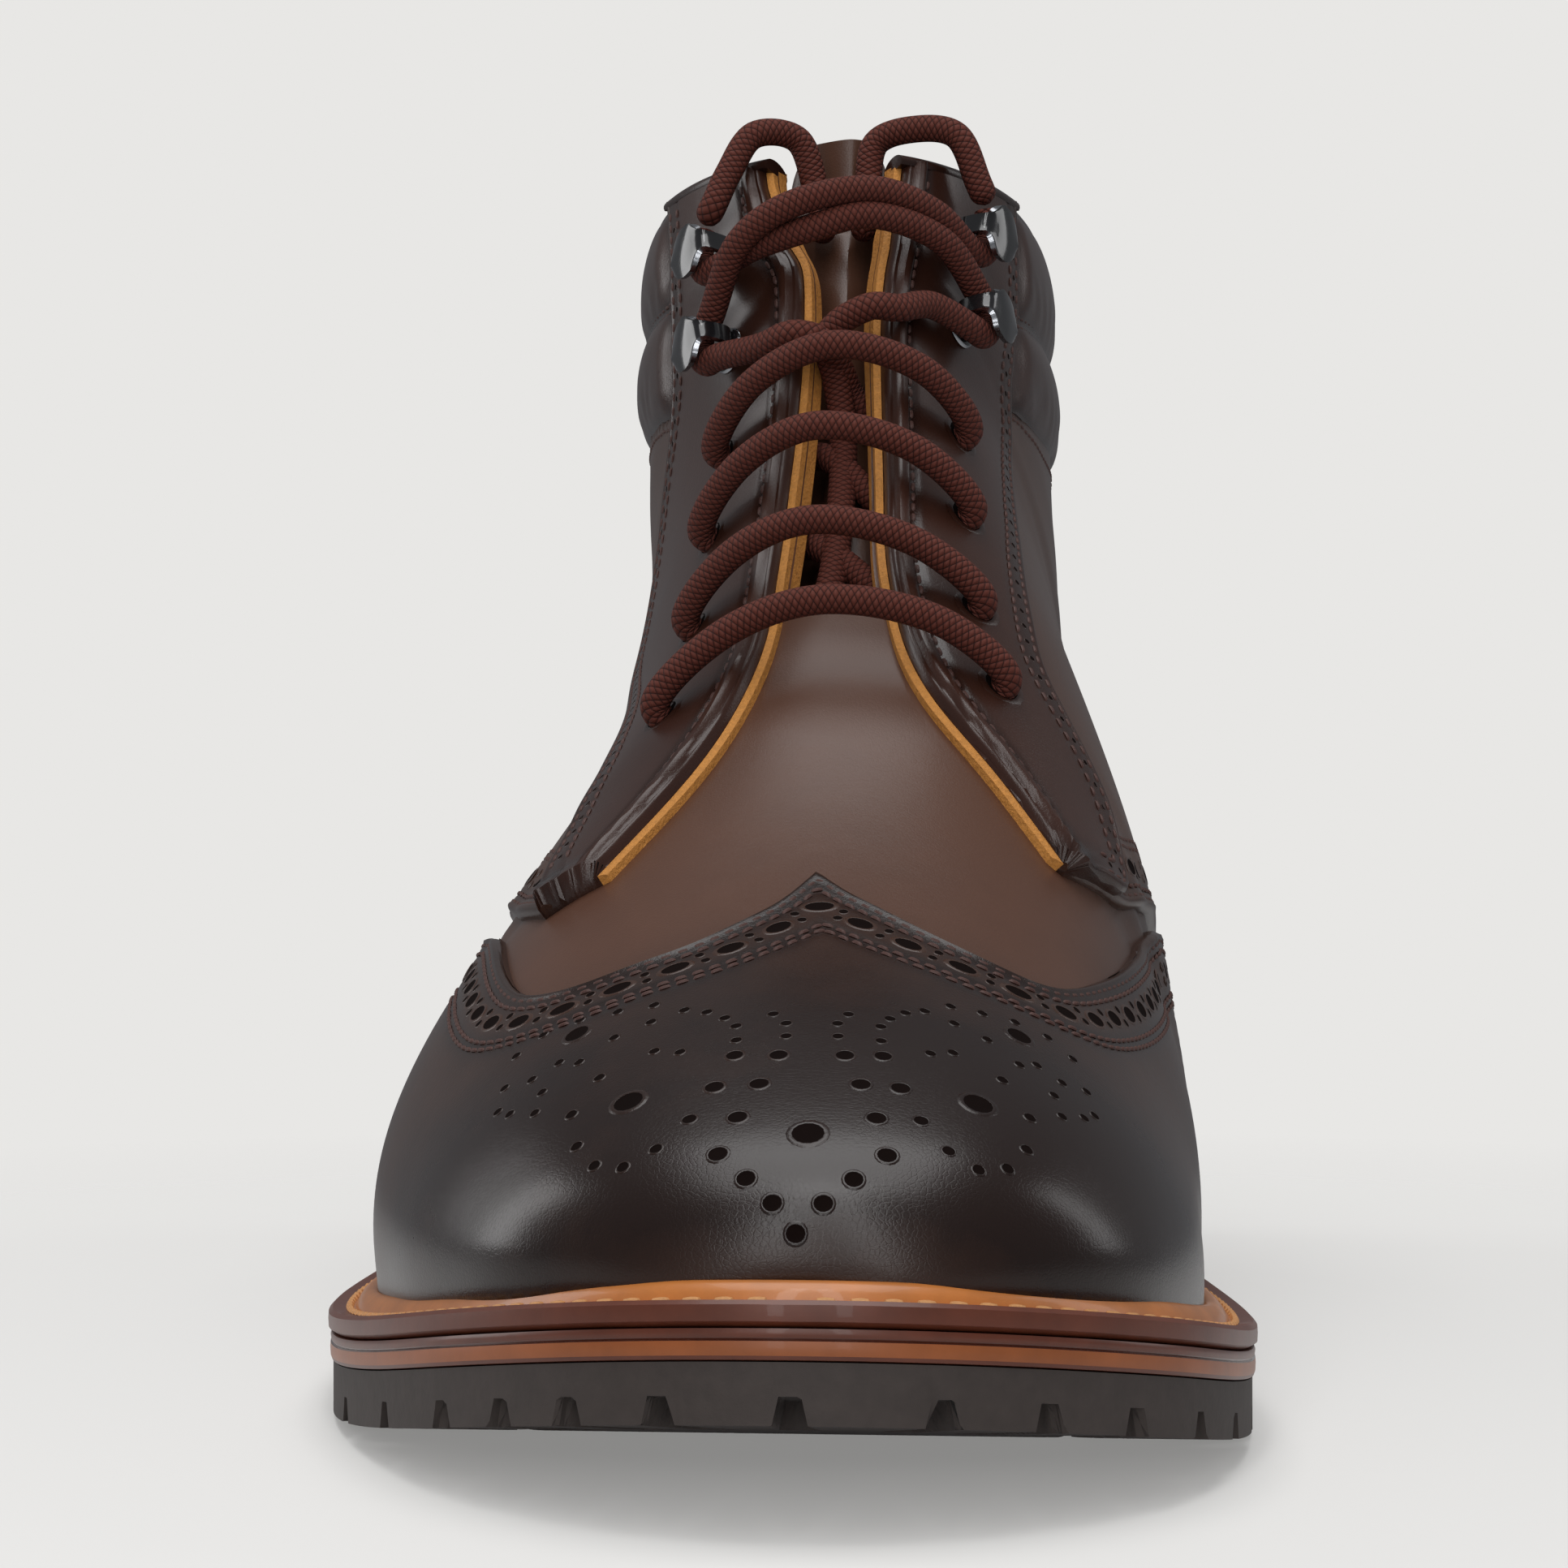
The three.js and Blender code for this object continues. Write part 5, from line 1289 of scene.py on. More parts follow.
# Medallion on the toe, one side of it: row, place out from the ridge and half size
MEDALLION = [
    (5.5, 0.168, 1.7), (7.17, 0.203, 1.5),
    (6.06, 0.026, 1.0), (5.5, 0.043, 1.05), (6.1, 0.062, 0.95), (5.5, 0.083, 1.05), (4.8, 0.065, 1.05),
    (3.95, 0.09, 1.05), (3.3, 0.064, 1.0), (2.7, 0.034, 1.0), (4.87, 0.113, 0.8),
    (6.42, 0.02, 0.6), (6.66, 0.02, 0.6), (6.84, 0.03, 0.6), (6.39, 0.06, 0.6), (6.66, 0.06, 0.6),
    (6.83, 0.069, 0.6), (6.98, 0.084, 0.6), (7.08, 0.103, 0.6),
    (4.3, 0.157, 0.7), (4.05, 0.205, 0.7), (4.3, 0.237, 0.7), (4.9, 0.244, 0.7), (5.6, 0.23, 0.7),
    (6.15, 0.188, 0.65), (6.6, 0.205, 0.6), (6.75, 0.225, 0.6), (6.4, 0.132, 0.6), (6.29, 0.109, 0.6),
    (6.3, 0.25, 0.6), (5.95, 0.266, 0.6), (6.2, 0.293, 0.6), (6.4, 0.305, 0.6), (6.8, 0.289, 0.6),
    (6.66, 0.257, 0.6), (7.3, 0.268, 0.6), (6.86, 0.168, 0.6), (7.43, 0.236, 0.6),
    (6.98, 0.133, 0.6), (7.33, 0.162, 0.6), (7.41, 0.198, 0.6), (7.28, 0.129, 0.6),
]
MEDALLION_MIDDLE = [(4.37, 0.0, 1.75), (2.0, 0.0, 1.0)]


def make_wing_cap():
    """Wing cap from the toe to its pointed edge, on the vamp: rows at shares of the way to the
    edge's own row, a punched band along the edge and a medallion on the toe."""
    piece = Piece()
    share = 1 - (1 - np.linspace(0, 1, 112)) ** 1.35
    u = np.concatenate([-np.linspace(1, 0, 112), np.linspace(0, 1, 112)[1:]])
    u = np.sign(u) * np.abs(u) ** 1.12
    v = share[:, None] * wing_row(u)[None]
    u = np.broadcast_to(u[None], v.shape)
    places = np.linspace(-1, 1, 1600)
    edge = surface(wing_row(places), places)
    d = distance_to(surface(v, u), edge)
    high = folded_edge(d, 0.0, SHELL_OUTER) + furrow(d, *BAND_SEAMS)
    seams = 0.3 * (bump(d, 2, 2.4) + bump(d, 9, 2))
    tone = np.clip(0.62 + 0.4 * (1 - smooth(v, 6, 9)) * smooth(v, 0.8, 3.5) + seams, 0, 1)
    sheet(piece, [(v, u, high, PANEL_UNDER + 0 * v, tone)])
    brogue_band(piece, wing_row(places), places, -1)
    holes = [(row, side * place, size) for row, place, size in MEDALLION for side in (-1, 1)]
    for row, place, size in holes + MEDALLION_MIDDLE:
        punch(piece, row, place, 0.0, size, burnish=0.9)
    piece.finish("wing cap", [VAMP, LINING, THREAD, PAINTED_HOLE_SHADE], "burnished_leather", ("wing_cap",),
                 merge=False)


COLLAR_START = 0.008
COLLAR_FOOT = SOLE_EDGE + 0.8 * UPPER_HEIGHT
COLLAR_DROP = 4.0


def row_at_height(u, height):
    """Row on which the surface reaches a height, by halving."""
    low, high = np.full(np.shape(u), 12.0), np.full(np.shape(u), float(TOP_ROW))
    for _ in range(24):
        middle = (low + high) / 2
        under = surface(middle, u)[..., 2] < height
        low, high = np.where(under, middle, low), np.where(under, high, middle)
    return (low + high) / 2


def collar_foot_row(side, share):
    """Row of the padded collar's foot at a share of the way from the facing to the back: where
    the surface reaches a height that falls evenly towards the back."""
    guess = mix(EDGES[side]["rear"](20.0) + COLLAR_START, 1, share)
    return row_at_height(side * guess, COLLAR_FOOT - COLLAR_DROP * share)


def under_collar(v, u, side):
    """Share by which a place lies under the padded collar: a soft step above its foot times
    one behind the facing."""
    start = EDGES[side]["rear"](20.0) + COLLAR_START
    share = np.clip((np.abs(u) - start) / (1 - start), 0, 1)
    table = np.linspace(0, 1, 40)
    foot = np.interp(share, table, collar_foot_row(side, table))
    return smooth(v - foot, 0.0, 0.25) * smooth(np.abs(u) - EDGES[side]["rear"](v), 0.004, 0.016)


def lined(side, grids):
    """Grids with u running up on both sides: the lateral ones are turned end for end."""
    return [tuple(a[:, ::-1] for a in grid) for grid in grids] if side < 0 else grids


def make_quarter(side, table, name, node):
    """Quarter from the facing to the back seam or its own lower edge, by even shares of the way
    between them, with a punched band along that edge."""
    piece = Piece()
    first = table["row"][0]
    rows = np.concatenate([np.linspace(first, 15.2, 88), np.linspace(15.2, TOP_ROW, 52)[1:]])
    share = np.linspace(0, 1, 80)
    v = np.repeat(rows[:, None], len(share), 1)
    low = np.where(v < 18.5, np.minimum(EDGES[side]["low"](v), 1.0), 1.0)
    u = side * mix(EDGES[side]["front"](v), low, 1 - (1 - share[None]) ** 1.25)
    edge_v = np.linspace(first, 15.1, 900)
    edge_u = side * np.minimum(EDGES[side]["low"](edge_v), 1.0)
    keep = np.abs(edge_u) < 0.985
    edge_v, edge_u = edge_v[keep], edge_u[keep]
    d = np.where(v > 15.1, 20, distance_to(surface(v, u), surface(edge_v, edge_u)))
    pad = under_collar(v, u, side)
    hidden = 1 - smooth(np.abs(u) - EDGES[side]["rear"](v), -0.02, -0.008)
    high = folded_edge(d, 0.0, SHELL_OUTER) + furrow(d, *BAND_SEAMS[:2])
    high = mix(high, SHELL_OUTER + 0.05, np.maximum(pad, hidden))
    tone = 0.35 + 0.35 * bump(d, 2, 3) + 0.25 * smooth(v, 18, 24) + 0.3 * smooth(np.abs(u), 0.5, 1)
    sheet(piece, lined(side, [(v, u, high, PANEL_UNDER + 0 * v, np.clip(tone, 0, 1))]))
    brogue_band(piece, edge_v, edge_u, side, reach=(5.0, 2.0))
    piece.finish(name, [VAMP, LINING, THREAD, PAINTED_HOLE_SHADE], "upper_leather", (node,), merge=False)


def facing_lip(piece, side, line, front):
    """Raw edge of the lining in front of the facing: a thin wall from the facing's lip to its
    front line, sinking by the square of the way, and as deep as the shell above the split."""
    v, u = beside(line, side * front(line), side)
    v, u = np.interp(line, v, v), np.interp(line, v, u)
    f = np.linspace(0, 1, 6)[None]
    sv, su = mix(v[:, None], line[:, None], f), mix(u[:, None], side * front(line)[:, None], f)
    deep = mix(SHELL_OUTER, SHELL_INNER, smooth(sv, 12.7, 13.0)) - 0.1
    lip = -0.1 - 0.35 * (1 - f) ** 2 + 0 * sv
    sheet(piece, lined(side, [(sv, su, lip, deep, 0.0 * sv)]), kind=4, under=4)


def facing_top(piece, side, front, rear):
    """Rolled top of the facing: a half round over the wall's thickness, carried across it."""
    ends = np.linspace(0, 1, 30)[:, None]
    angle = np.linspace(-0.35, np.pi + 0.3, 16)[None]
    u = side * mix(front(TOP_ROW) - THROAT_INSET, rear(TOP_ROW) + 0.004, ends) + 0 * angle
    base, out = surface(TOP_ROW - 0.02 + 0 * u, u), normal(TOP_ROW - 0.05 + 0 * u, u)
    middle, half = (FACING_TOP + SHELL_INNER) / 2, (FACING_TOP - SHELL_INNER) / 2 + 0.25
    roll = base + out * (middle + half * np.cos(angle))[..., None]
    roll[..., 2] += 1.5 * np.maximum(np.sin(angle), -0.4)
    piece.tube(roll[::-1] if side > 0 else roll, kind=0, burnish=0.75)


EYELET_HALF = (2.5, 2.3)
FACING_SEAM = 3.7
REAR_SEAMS = (1.5, 4.2)


def make_facing(side, table, name, node):
    """Facing: rows and shares of the way from its front to its rear, raised by bells into two
    rolled beads in front, with furrows along its seams and a raw lining edge."""
    piece = Piece()
    first = table["row"][0]
    rows = np.linspace(first, TOP_ROW + 0.05, 160)
    share = np.linspace(0, 1, 48)
    share = share - 0.12 * np.sin(2 * np.pi * share)
    v = np.repeat(rows[:, None], len(share), 1)
    front, rear = EDGES[side]["front"], EDGES[side]["rear"]
    u = side * mix(front(v), rear(v), share[None])
    line = np.linspace(first, TOP_ROW, 900)
    foot_u = side * np.linspace(rear(first), front(first), 40)
    turned = np.concatenate([surface(first, foot_u), surface(line, side * front(line))])
    ahead = distance_to(surface(v, u), turned)
    behind = np.minimum(distance_to(surface(v, u), surface(line, side * rear(line))), 6)
    bead = 0.75 * bump(ahead, 1.9, 0.5) + 0.65 * bump(ahead, 2.8, 0.45) - 0.3 * bump(ahead, 1.05, 0.25)
    foot = mix(SHELL_OUTER, -0.1, smooth(ahead - behind, -1, 1))
    high = folded_edge(np.minimum(ahead, behind), FACING_TOP, foot, 0.0) + bead
    high = high + 0.2 * bump(behind, 1.0, 0.8)
    high = high + furrow(ahead, FACING_SEAM, deep=0.3) + furrow(behind, *REAR_SEAMS)
    tone = 0.4 + 0.4 * bump(ahead, 3.6, 1.2) + 0.35 * bump(behind, 2.5, 3) - 0.2 * bump(ahead, 2.3, 0.8)
    sheet(piece, lined(side, [(v, u, high, SHELL_OUTER - 0.1 + 0 * v, np.clip(tone, 0, 1))]))
    ahead_seam = beside(line, side * front(line), -side * FACING_SEAM)
    stitch(piece, *ahead_seam, FACING_TOP - 0.05, gap=2.0, start=6, end=2)
    back = (line, side * rear(line))
    for row in REAR_SEAMS:
        stitch(piece, *beside(*back, side * row), FACING_TOP, gap=STITCH_STEP, start=8, end=1)
    dots = spaced(*beside(*back, side * sum(REAR_SEAMS) / 2), 3.4, 8, 3)
    punch(piece, *dots, FACING_TOP, 0.42, depth=0.5)
    facing_lip(piece, side, line, front)
    # Eyelets: holes whose dark dish is painted shade, where the lace goes through.
    for key, (row, place) in spot.items():
        if key.startswith("row") and place * side > 0:
            punch(piece, row, place, FACING_TOP - 0.03, *EYELET_HALF)
    facing_top(piece, side, front, rear)
    piece.finish(name, [DARK, LINING, THREAD, PAINTED_HOLE_SHADE, RAW], "upper_leather", (node,), merge=False)


COUNTER_SEAMS = (1.5, 2.9)
STRAP_ROWS = (21.5, 23.62)
STRAP_PLACE = 0.955


def make_counter():
    """Heel counter round the back: on each side, shares of the way from its edge to the back
    seam, sewn twice along its edge."""
    piece = Piece()
    place_of = curve(COUNTER["row"], COUNTER["place"])
    rows = np.linspace(15.35, 21.35, 88)
    share = np.linspace(0, 1, 56)
    line = np.linspace(15.9, 21.35, 700)
    grids = []
    for side in (-1, 1):
        edge = surface(line, side * np.minimum(place_of(line), 1))
        v = np.repeat(rows[:, None], len(share), 1)
        u = side * mix(np.minimum(place_of(v), 1), 1, share[None])
        d = distance_to(surface(v, u), edge)
        high = folded_edge(d, FACING_TOP, -0.1) + furrow(d, *COUNTER_SEAMS)
        grids += lined(side, [(v, u, high, -0.2 + 0 * v, np.clip(0.55 + 0.35 * bump(d, 2, 3), 0, 1))])
    sheet(piece, grids)
    for side in (-1, 1):
        edge = (line, side * np.minimum(place_of(line), 1))
        for row in COUNTER_SEAMS:
            stitch(piece, *beside(*edge, -side * row), FACING_TOP, gap=STITCH_STEP, start=2, end=1)
    piece.finish("heel counter", [VAMP, LINING, THREAD], "burnished_leather", ("heel_counter",),
                 merge=False)


def make_strap():
    """Back strap: small sewn tab on the back seam, even shares of the way from its edges to the
    seam on both sides."""
    piece = Piece()
    low_row, high_row = STRAP_ROWS
    rows, share = np.linspace(low_row, high_row, 40), np.linspace(0, 1, 16)
    grids = []
    for side in (-1, 1):
        v = np.repeat(rows[:, None], len(share), 1)
        u = side * mix(STRAP_PLACE, 1, share[None]) + 0 * v
        edge = surface(rows, np.full(len(rows), side * STRAP_PLACE))
        ends = np.minimum(v - low_row, high_row - v) * 16
        d = np.minimum(distance_to(surface(v, u), edge), ends)
        high = folded_edge(d, FACING_TOP, -0.1) + furrow(d, 1.4)
        grids += lined(side, [(v, u, high, -0.2 + 0 * v, 0.6 + 0 * v)])
    sheet(piece, grids)
    for side in (-1, 1):
        v = np.linspace(low_row + 0.1, high_row - 0.12, 60)
        edge = (v, np.full(len(v), side * STRAP_PLACE))
        stitch(piece, *beside(*edge, -side * 1.4), FACING_TOP, gap=STITCH_STEP)
    piece.finish("back strap", [DARK, LINING, THREAD], "burnished_leather", ("back_strap",), merge=False)


ROLLS = 2
PUFF = 2.15
COLLAR_INSIDE = -4.1
COLLAR_INNER_ROW = 23.3


def make_collar():
    """Padded collar: outside, as many rolls as half waves of a sine, raised to a power; then a
    turned top, half a turn of a circle; then a lining that runs down inside. Between them and
    its back it is one closed sheet."""
    piece = Piece()
    share, outer = np.linspace(0, 1, 72)[None], np.linspace(0, 1, 50)[:, None]
    turn, inner = np.linspace(0, np.pi, 14)[1:, None], np.linspace(0, 1, 10)[1:, None]
    parts, quads, seams, count = [], [], [], 0
    for side in (-1, 1):
        rear = EDGES[side]["rear"]
        foot = collar_foot_row(side, share[0])
        v = mix(foot[None], float(TOP_ROW), outer)
        u = side * mix(rear(v) + COLLAR_START, 1, share)
        puff = np.abs(np.sin(outer * ROLLS * np.pi)) ** 0.6
        wrinkle = 0.12 * np.sin(u * 130 + 2 * np.sin(v * 4)) * puff * bump(outer % 0.5, 0.1, 0.12)
        high = -0.25 + PUFF * puff * mix(0.35, 1, smooth(share, 0.0, 0.05)) + wrinkle
        top_u = side * mix(rear(TOP_ROW) + COLLAR_START, 1, share)
        cap_v = TOP_ROW + 0.17 * np.sin(turn) + 0 * top_u
        cap_high = mix(-0.25, COLLAR_INSIDE, (1 - np.cos(turn)) / 2) + 0 * top_u
        in_v = mix(float(TOP_ROW), COLLAR_INNER_ROW, inner) + 0 * top_u
        in_high = COLLAR_INSIDE - 0.45 * np.sin(inner * np.pi) + 0 * top_u
        low = np.concatenate([-1.6 + 0 * high, -2.3 + 0 * cap_high, -3.4 + 0 * in_high])
        v, high = np.concatenate([v, cap_v, in_v]), np.concatenate([high, cap_high, in_high])
        u = np.concatenate([u, top_u + 0 * cap_v, top_u + 0 * in_v])
        low_v = np.minimum(v, TOP_ROW)
        out = normal(low_v, u)
        key = surface(low_v, u) + np.arange(len(v))[:, None, None] * np.array([0, 0, 50.0])
        # Painted shade: the fourth entry darkens the collar where it lies low, in the valleys between its
        # rolls, over its turned top and down its inside.
        mesh = [key, surface(v, u) + out * high[..., None], surface(low_v, u) + out * low[..., None],
                0.5 + 0.3 * (1 - np.clip(high, 0, 1))[..., None]]
        if side < 0:
            mesh = [a[:, ::-1] for a in mesh]
        parts.append([a.reshape(v.size, -1) for a in mesh])
        quads.append(loops_of(*v.shape) + count)
        count += v.size
        valley = mix(foot, float(TOP_ROW), 0.5)
        rows = [(valley + 0.12, 0.25), (valley - 0.12, 0.25), (foot + 0.1, -0.1), (foot - 0.25, 0.0)]
        seams.append((side, rows))
    base, top, bottom, tone = [np.concatenate(a) for a in zip(*parts)]
    piece.shell(base, top, bottom, np.concatenate(quads), burnish=tone[:, 0])
    for side, rows in seams:
        for row, lift in rows:
            u = side * mix(EDGES[side]["rear"](row) + COLLAR_START, 1, share[0])
            stitch(piece, row, u, lift, gap=2.3)
    made = piece.finish("collar pad", [DARK, LINING, THREAD], "upper_leather", ("collar_pad",))


def make_tongue():
    """Tongue under the lace: even shares across, each face a high power's round off its middle
    height, narrowed towards its rounded top and soft by the product of two waves."""
    piece = Piece()
    rows, share = np.linspace(10.7, 25.6, 150), np.linspace(0, 1, 56)
    v = np.repeat(rows[:, None], len(share), 1)
    s = share[None] * 2 - 1
    narrow = 1 - 0.3 * np.clip((v - 24.6) / 1.0, 0, 1) ** 3
    u = mix(-0.215, 0.225, (s * narrow + 1) / 2) * mix(0.8, 1, np.clip((v - 11) / 3, 0, 1))
    fall = smooth(v, 11, 11.7)
    deep = mix(SHELL_INNER - INSIDE_GAP, UNDER_HEIGHT - LACE_RADIUS - INSIDE_GAP, fall)
    rounded = np.sqrt(np.clip(1 - np.abs(s) ** 14, 0, 1))
    soft = 0.25 * np.sin(v * 2.1) * np.cos(u * 14) * fall
    high = deep - 1 + rounded + soft
    low = deep - 1 - rounded + soft * 0.5
    low = np.minimum(low, high - 0.05)
    tone = np.clip(0.05 + 0.15 * np.abs(s) + 0.25 * (1 - smooth(v, 12, 17)), 0, 1)
    sheet(piece, [(v, u, high, low, tone)])
    piece.finish("tongue", [VAMP, LINING], "upper_leather", ("tongue",))


make_upper()
make_wing_cap()
make_quarter(-1, LATERAL, "quarter lateral", "quarter_lateral")
make_quarter(1, MEDIAL, "quarter medial", "quarter_medial")
make_facing(-1, LATERAL, "facing lateral", "facing_lateral")
make_facing(1, MEDIAL, "facing medial", "facing_medial")
make_counter()
make_strap()
make_collar()
make_tongue()


# Hooks and lace
HOOK_SIDES = 32
LIP_ROWS = 60
LIP_COLUMNS = 21
LIP_TIP = 4.72
LIP_HALF_WALL = 0.36


def make_hook(name):
    """Speed hook: a round domed base turned from a profile, and a strip bent along a smooth
    curve into a neck and a lip. The strip's half width follows a soft step and then the root
    of 1 less a square, and its edges are the bright grey metal rim."""
    piece = Piece()
    v, u = spot[name]
    out, across, up = frame_at(v, u)
    origin = surface(v, u)
    foot = FACING_TOP - 0.1

    def placed(points):
        """Points (x, y, z) as so far across, up and out from the hook's place."""
        return (origin + points @ np.stack([across, up, out])).reshape(-1, 3)

    angle = np.arange(HOOK_SIDES) / HOOK_SIDES * 2 * np.pi
    profile = np.array([(0, 0), (3.1, 0), (3.4, 0.3), (3.2, 0.75), (2.4, 1.0), (0, 1.05)])
    radius, height = profile.T[..., None]
    ring = placed(np.stack([radius * np.cos(angle), radius * np.sin(angle), foot + height + 0 * angle], -1))
    piece.add(ring, outward(ring, loops_of(len(radius), HOOK_SIDES, True)),
              kind=np.repeat([0, 0, 1, 0, 0], HOOK_SIDES))

    line = smooth_path([(0.4, 0, foot + 0.9), (-1.2, 0, foot + 1.1), (-2.7, 0, foot + 1.9),
                        (-2.9, 0, HOOK_LACE), (-2.3, 0, LIP_FOOT - 0.1), (-0.6, 0, LIP_FOOT + 0.55),
                        (1.6, 0, LIP_FOOT + 0.75), (4.7, 0, LIP_FOOT + 0.35)], LIP_ROWS)
    s, q = np.linspace(0, 1, LIP_ROWS)[:, None], np.linspace(-1, 1, LIP_COLUMNS)[None]
    x = line[:, :1]
    half = 1.5 + 2.7 * smooth(s, 0.5, 0.78)
    half = half * np.sqrt(np.clip(1 - np.clip((x - 1.2) / (LIP_TIP - 1.2), 0, 1) ** 2, 0.0004, 1))
    z = line[:, 2:] + 0.5 * q ** 4 * bump(s, 0.58, 0.12) - 0.35 * q ** 2 * smooth(s, 0.6, 0.9)
    bend = np.stack([x + 0 * q, q * half, z], -1)
    way = unit(np.cross(np.gradient(bend, axis=1), np.gradient(bend, axis=0))) * LIP_HALF_WALL
    bright = np.zeros((LIP_ROWS - 1, LIP_COLUMNS - 1), int)
    bright[36:, (0, -1)], bright[-2:] = 1, 1
    quads = loops_of(LIP_ROWS, LIP_COLUMNS)
    if u < 0:
        quads = quads[:, ::-1]
    piece.shell(placed(bend), placed(bend + way), placed(bend - way), quads, kind=bright.reshape(-1),
                under=0, wall=1)
    piece.finish(name.replace("_", " "), [ENAMEL, RIM], "hook_metal", (name,), sharp=50)


for hook_name in HOOKS["name"]:
    make_hook(hook_name)


def under(v, u, deeper=0.0):
    """Point at the height of the lace where it runs under the shell."""
    return at(v, u, UNDER_HEIGHT - deeper)


def over(v, u, higher=0.3):
    """Point at the height of the lace where it runs over the facing."""
    return at(v, u, OVER_HEIGHT + higher)


def through_hole(place, upward):
    """Points up, or down, through an eyelet along its own normal."""
    v, u = place
    points = [under(v, u, -1.2), at(v, u, SHELL_OUTER + 0.5), at(v, u, OVER_HEIGHT - 1)]
    return points if upward else points[::-1]


def bar(row):
    """Lace over the throat from one eyelet to the other: shares of the way between them,
    arched and a little bowed by a half sine."""
    a, b = spot[f"row_{row}_lateral"], spot[f"row_{row}_medial"]
    arch = []
    for f in (0.22, 0.5, 0.78):
        crown = math.sin(f * math.pi)
        arch.append(over(mix(a[0], b[0], f) + 0.22 * crown, mix(a[1], b[1], f), 0.6 + 2.2 * crown))
    return through_hole(a, True) + arch + through_hole(b, False)


def diagonal(a, b):
    """Two points of the lace under the shell, at shares of the way between two eyelets."""
    return [under(mix(a[0], b[0], f), mix(a[1], b[1], f)) for f in (0.3, 0.7)]


# Turns round a hook's neck: degrees, and how far out beyond the neck
BACK_TURN = [(-90, 0), (-45, 0), (0, 0), (45, 0), (90, 0)]
UP_TURN = [(-90, 0), (-45, 0), (0, 0), (38, 0.3), (61, 1.4)]


def wrap(name, turn):
    """Turn of lace round a hook's neck, from its lower side: points on a circle of the neck's
    and the lace's radius."""
    v, u = spot[name]
    points = []
    for degrees, outwards in turn:
        angle, reach = math.radians(degrees), NECK_RADIUS + LACE_RADIUS + 0.35 + outwards
        points.append(at(v, u, HOOK_LACE, NECK_SHIFT + reach * math.cos(angle), reach * math.sin(angle)))
    return points


def make_lace():
    """The one lace through every eyelet and round every hook: a tube on one smooth curve."""
    plan = (wrap("hook_upper_lateral", UP_TURN)[::-1]
            + [at(19.55, -0.11, 5.4), at(19.3, -0.035, 5.6), at(19.95, 0.035, 6), at(20.1, 0.13, 6)]
            + wrap("hook_lower_medial", BACK_TURN)[::-1]
            + [over(17.5, 0.12, 0.4), over(16.95, 0.072, 0.4), over(16.8, 0.036)]
            + [at(16.5, -0.02, 1), at(16.1, -0.024, -4)]
            + [under(15.5, -0.02), under(14.4, -0.024), under(13.4, -0.045), under(12.7, -0.1, 0.6)]
            + bar(1) + diagonal(spot["row_1_medial"], spot["row_2_lateral"])
            + bar(2) + diagonal(spot["row_2_medial"], spot["row_3_lateral"])
            + bar(3) + diagonal(spot["row_3_medial"], spot["row_4_lateral"])
            + bar(4)
            + [under(15.9, 0.11), under(16.1, 0.035, 0.1), at(16.25, -0.01, -3), at(16.35, -0.025, 1.6)]
            + [over(16.42, -0.055), over(16.5, -0.1)]
            + wrap("hook_lower_lateral", BACK_TURN)
            + [at(19.3, -0.105, 8.6), at(20, -0.05, 9), at(20.9, 0.035, 7.5), at(21.3, 0.12, 6.5)]
            + wrap("hook_upper_medial", UP_TURN))
    piece = Piece()
    lace_tube(piece, smooth_path(plan, 4000), tips=False)
    piece.finish("lace", [LACE_STUFF], "lace_cord", ("lace",), sharp=60)


make_lace()


# Stage
FLOOR_RADIUS = 6.0
FLOOR_SIDES = 128


def make_floor():
    """Pale round floor: one flat face over a circle, a hair under the tread."""
    angle = np.arange(FLOOR_SIDES) / FLOOR_SIDES * 2 * np.pi
    rim_points = np.stack([np.cos(angle), np.sin(angle), 0 * angle], -1) * FLOOR_RADIUS
    rim_points[:, 2] = -0.15 * MM
    mesh = bpy.data.meshes.new("floor")
    mesh.from_pydata(rim_points.tolist(), [], [list(range(FLOOR_SIDES))])
    mesh.materials.append(FLOOR)
    mesh.update()
    floor = bpy.data.objects.new("floor", mesh)
    scene.collection.objects.link(floor)


BACKDROP = (0.807, 0.799, 0.783)
FADE_FROM_TO = (0.1, 0.36)
CLEAR_NEAR = 0.3
FILL = 0.22


def make_floor_stuff():
    """Pale floor that fades out into the backdrop, by a share that grows evenly with the
    distance from the boot."""
    made, tree, shader = material("pale floor")
    shader.inputs["Base Color"].default_value = (0.93, 0.92, 0.9, 1)
    shader.inputs["Roughness"].default_value = 0.65
    shader.inputs["Specular IOR Level"].default_value = 0.15
    place = put(tree, "ShaderNodeTexCoord").outputs["Object"]
    length = put(tree, "ShaderNodeVectorMath", operation="LENGTH")
    tree.links.new(place, length.inputs[0])
    fade = span(tree, length.outputs["Value"], *FADE_FROM_TO, CLEAR_NEAR, 1.0)
    clear = put(tree, "ShaderNodeBsdfTransparent")
    both = put(tree, "ShaderNodeMixShader")
    tree.links.new(fade, both.inputs["Fac"])
    tree.links.new(shader.outputs["BSDF"], both.inputs[1])
    tree.links.new(clear.outputs["BSDF"], both.inputs[2])
    end = next(node for node in tree.nodes if node.type == "OUTPUT_MATERIAL")
    tree.links.new(both.outputs[0], end.inputs["Surface"])
    return made


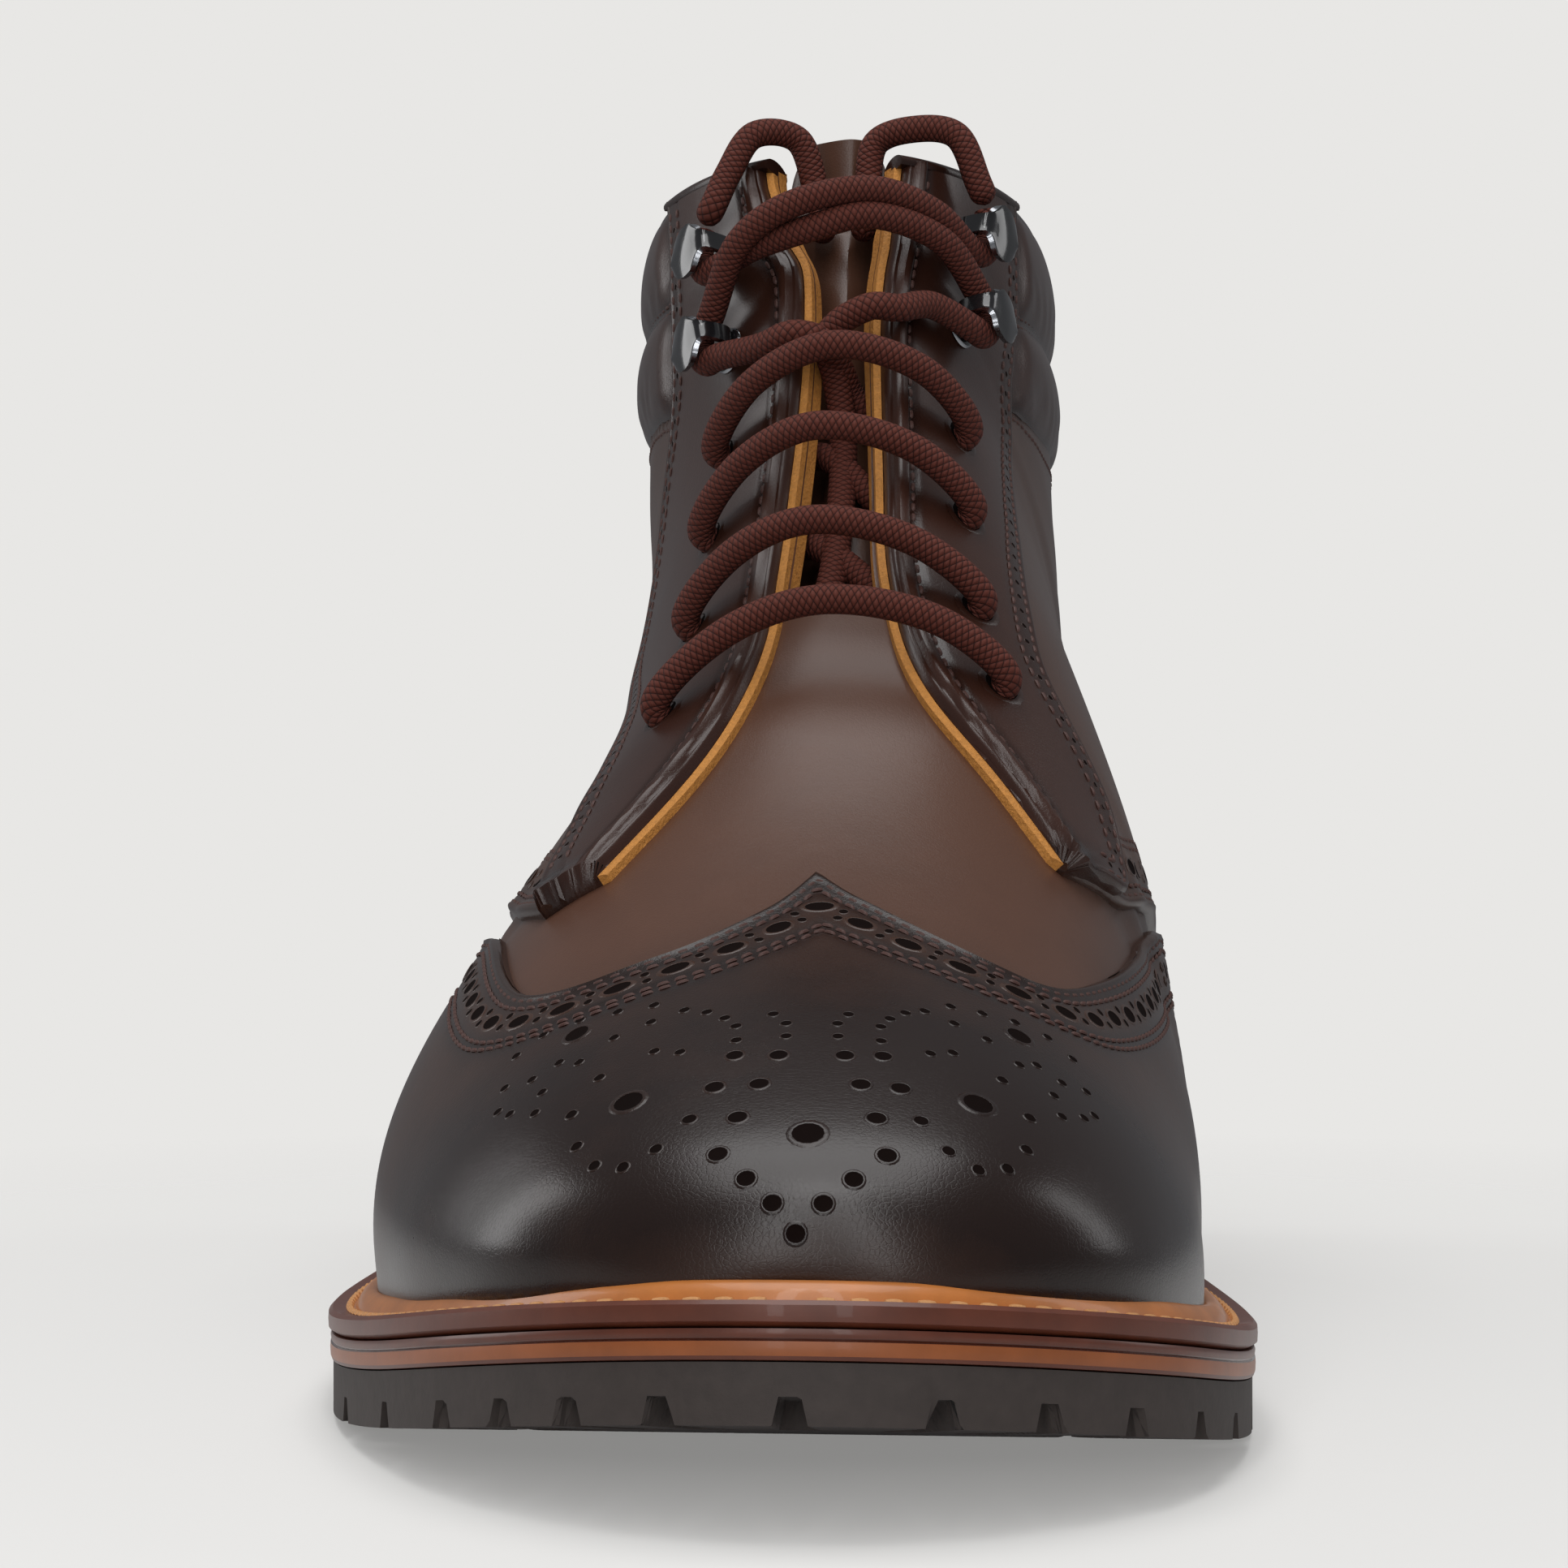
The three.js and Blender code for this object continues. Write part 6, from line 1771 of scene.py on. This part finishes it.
FLOOR = make_floor_stuff()
make_floor()


def make_world():
    """Even pale backdrop for the camera; dimmer where it lights the boot."""
    world = bpy.data.worlds.new("studio")
    world.use_nodes = True
    scene.world = world
    tree = world.node_tree
    seen = next(node for node in tree.nodes if node.type == "BACKGROUND")
    seen.inputs["Color"].default_value = (*BACKDROP, 1)
    seen.inputs["Strength"].default_value = 1.0
    felt = put(tree, "ShaderNodeBackground")
    felt.inputs["Color"].default_value = (0.8, 0.82, 0.86, 1)
    felt.inputs["Strength"].default_value = FILL
    both = put(tree, "ShaderNodeMixShader")
    ray = put(tree, "ShaderNodeLightPath").outputs["Is Camera Ray"]
    tree.links.new(ray, both.inputs["Fac"])
    tree.links.new(felt.outputs[0], both.inputs[1])
    tree.links.new(seen.outputs[0], both.inputs[2])
    end = next(node for node in tree.nodes if node.type == "OUTPUT_WORLD")
    tree.links.new(both.outputs[0], end.inputs["Surface"])


make_world()


def soft_light(name, place, target, size, power):
    """Rectangular soft light that faces a target: turned by the angles of the way to it."""
    data = bpy.data.lights.new(name, "AREA")
    data.shape = "RECTANGLE"
    data.size, data.size_y = size
    data.energy = power
    light = bpy.data.objects.new(name.replace(" ", "_"), data)
    light.location = place
    way = np.array(target, float) - np.array(place, float)
    flat = math.hypot(way[0], way[1])
    light.rotation_euler = (math.atan2(flat, -way[2]), 0.0, math.atan2(-way[0], way[1]))
    scene.collection.objects.link(light)


soft_light("top light", (0.0, -0.1, 1.2), (0, 0, 0.05), (0.9, 0.9), 7)
soft_light("left strip", (-0.13, -0.98, 0.6), (0, -0.1, 0.05), (0.11, 1.9), 4.2)
soft_light("right strip", (0.19, -0.98, 0.6), (0, -0.1, 0.05), (0.11, 1.9), 3.6)
soft_light("left side", (-1.0, 0.25, 0.4), (0, 0, 0.08), (0.4, 0.8), 2.6)
soft_light("right side", (1.0, 0.3, 0.5), (0, 0, 0.08), (0.3, 0.8), 1.4)

scene.view_settings.view_transform = "Standard"
scene.view_settings.look = "None"
scene.view_settings.exposure = 0.0
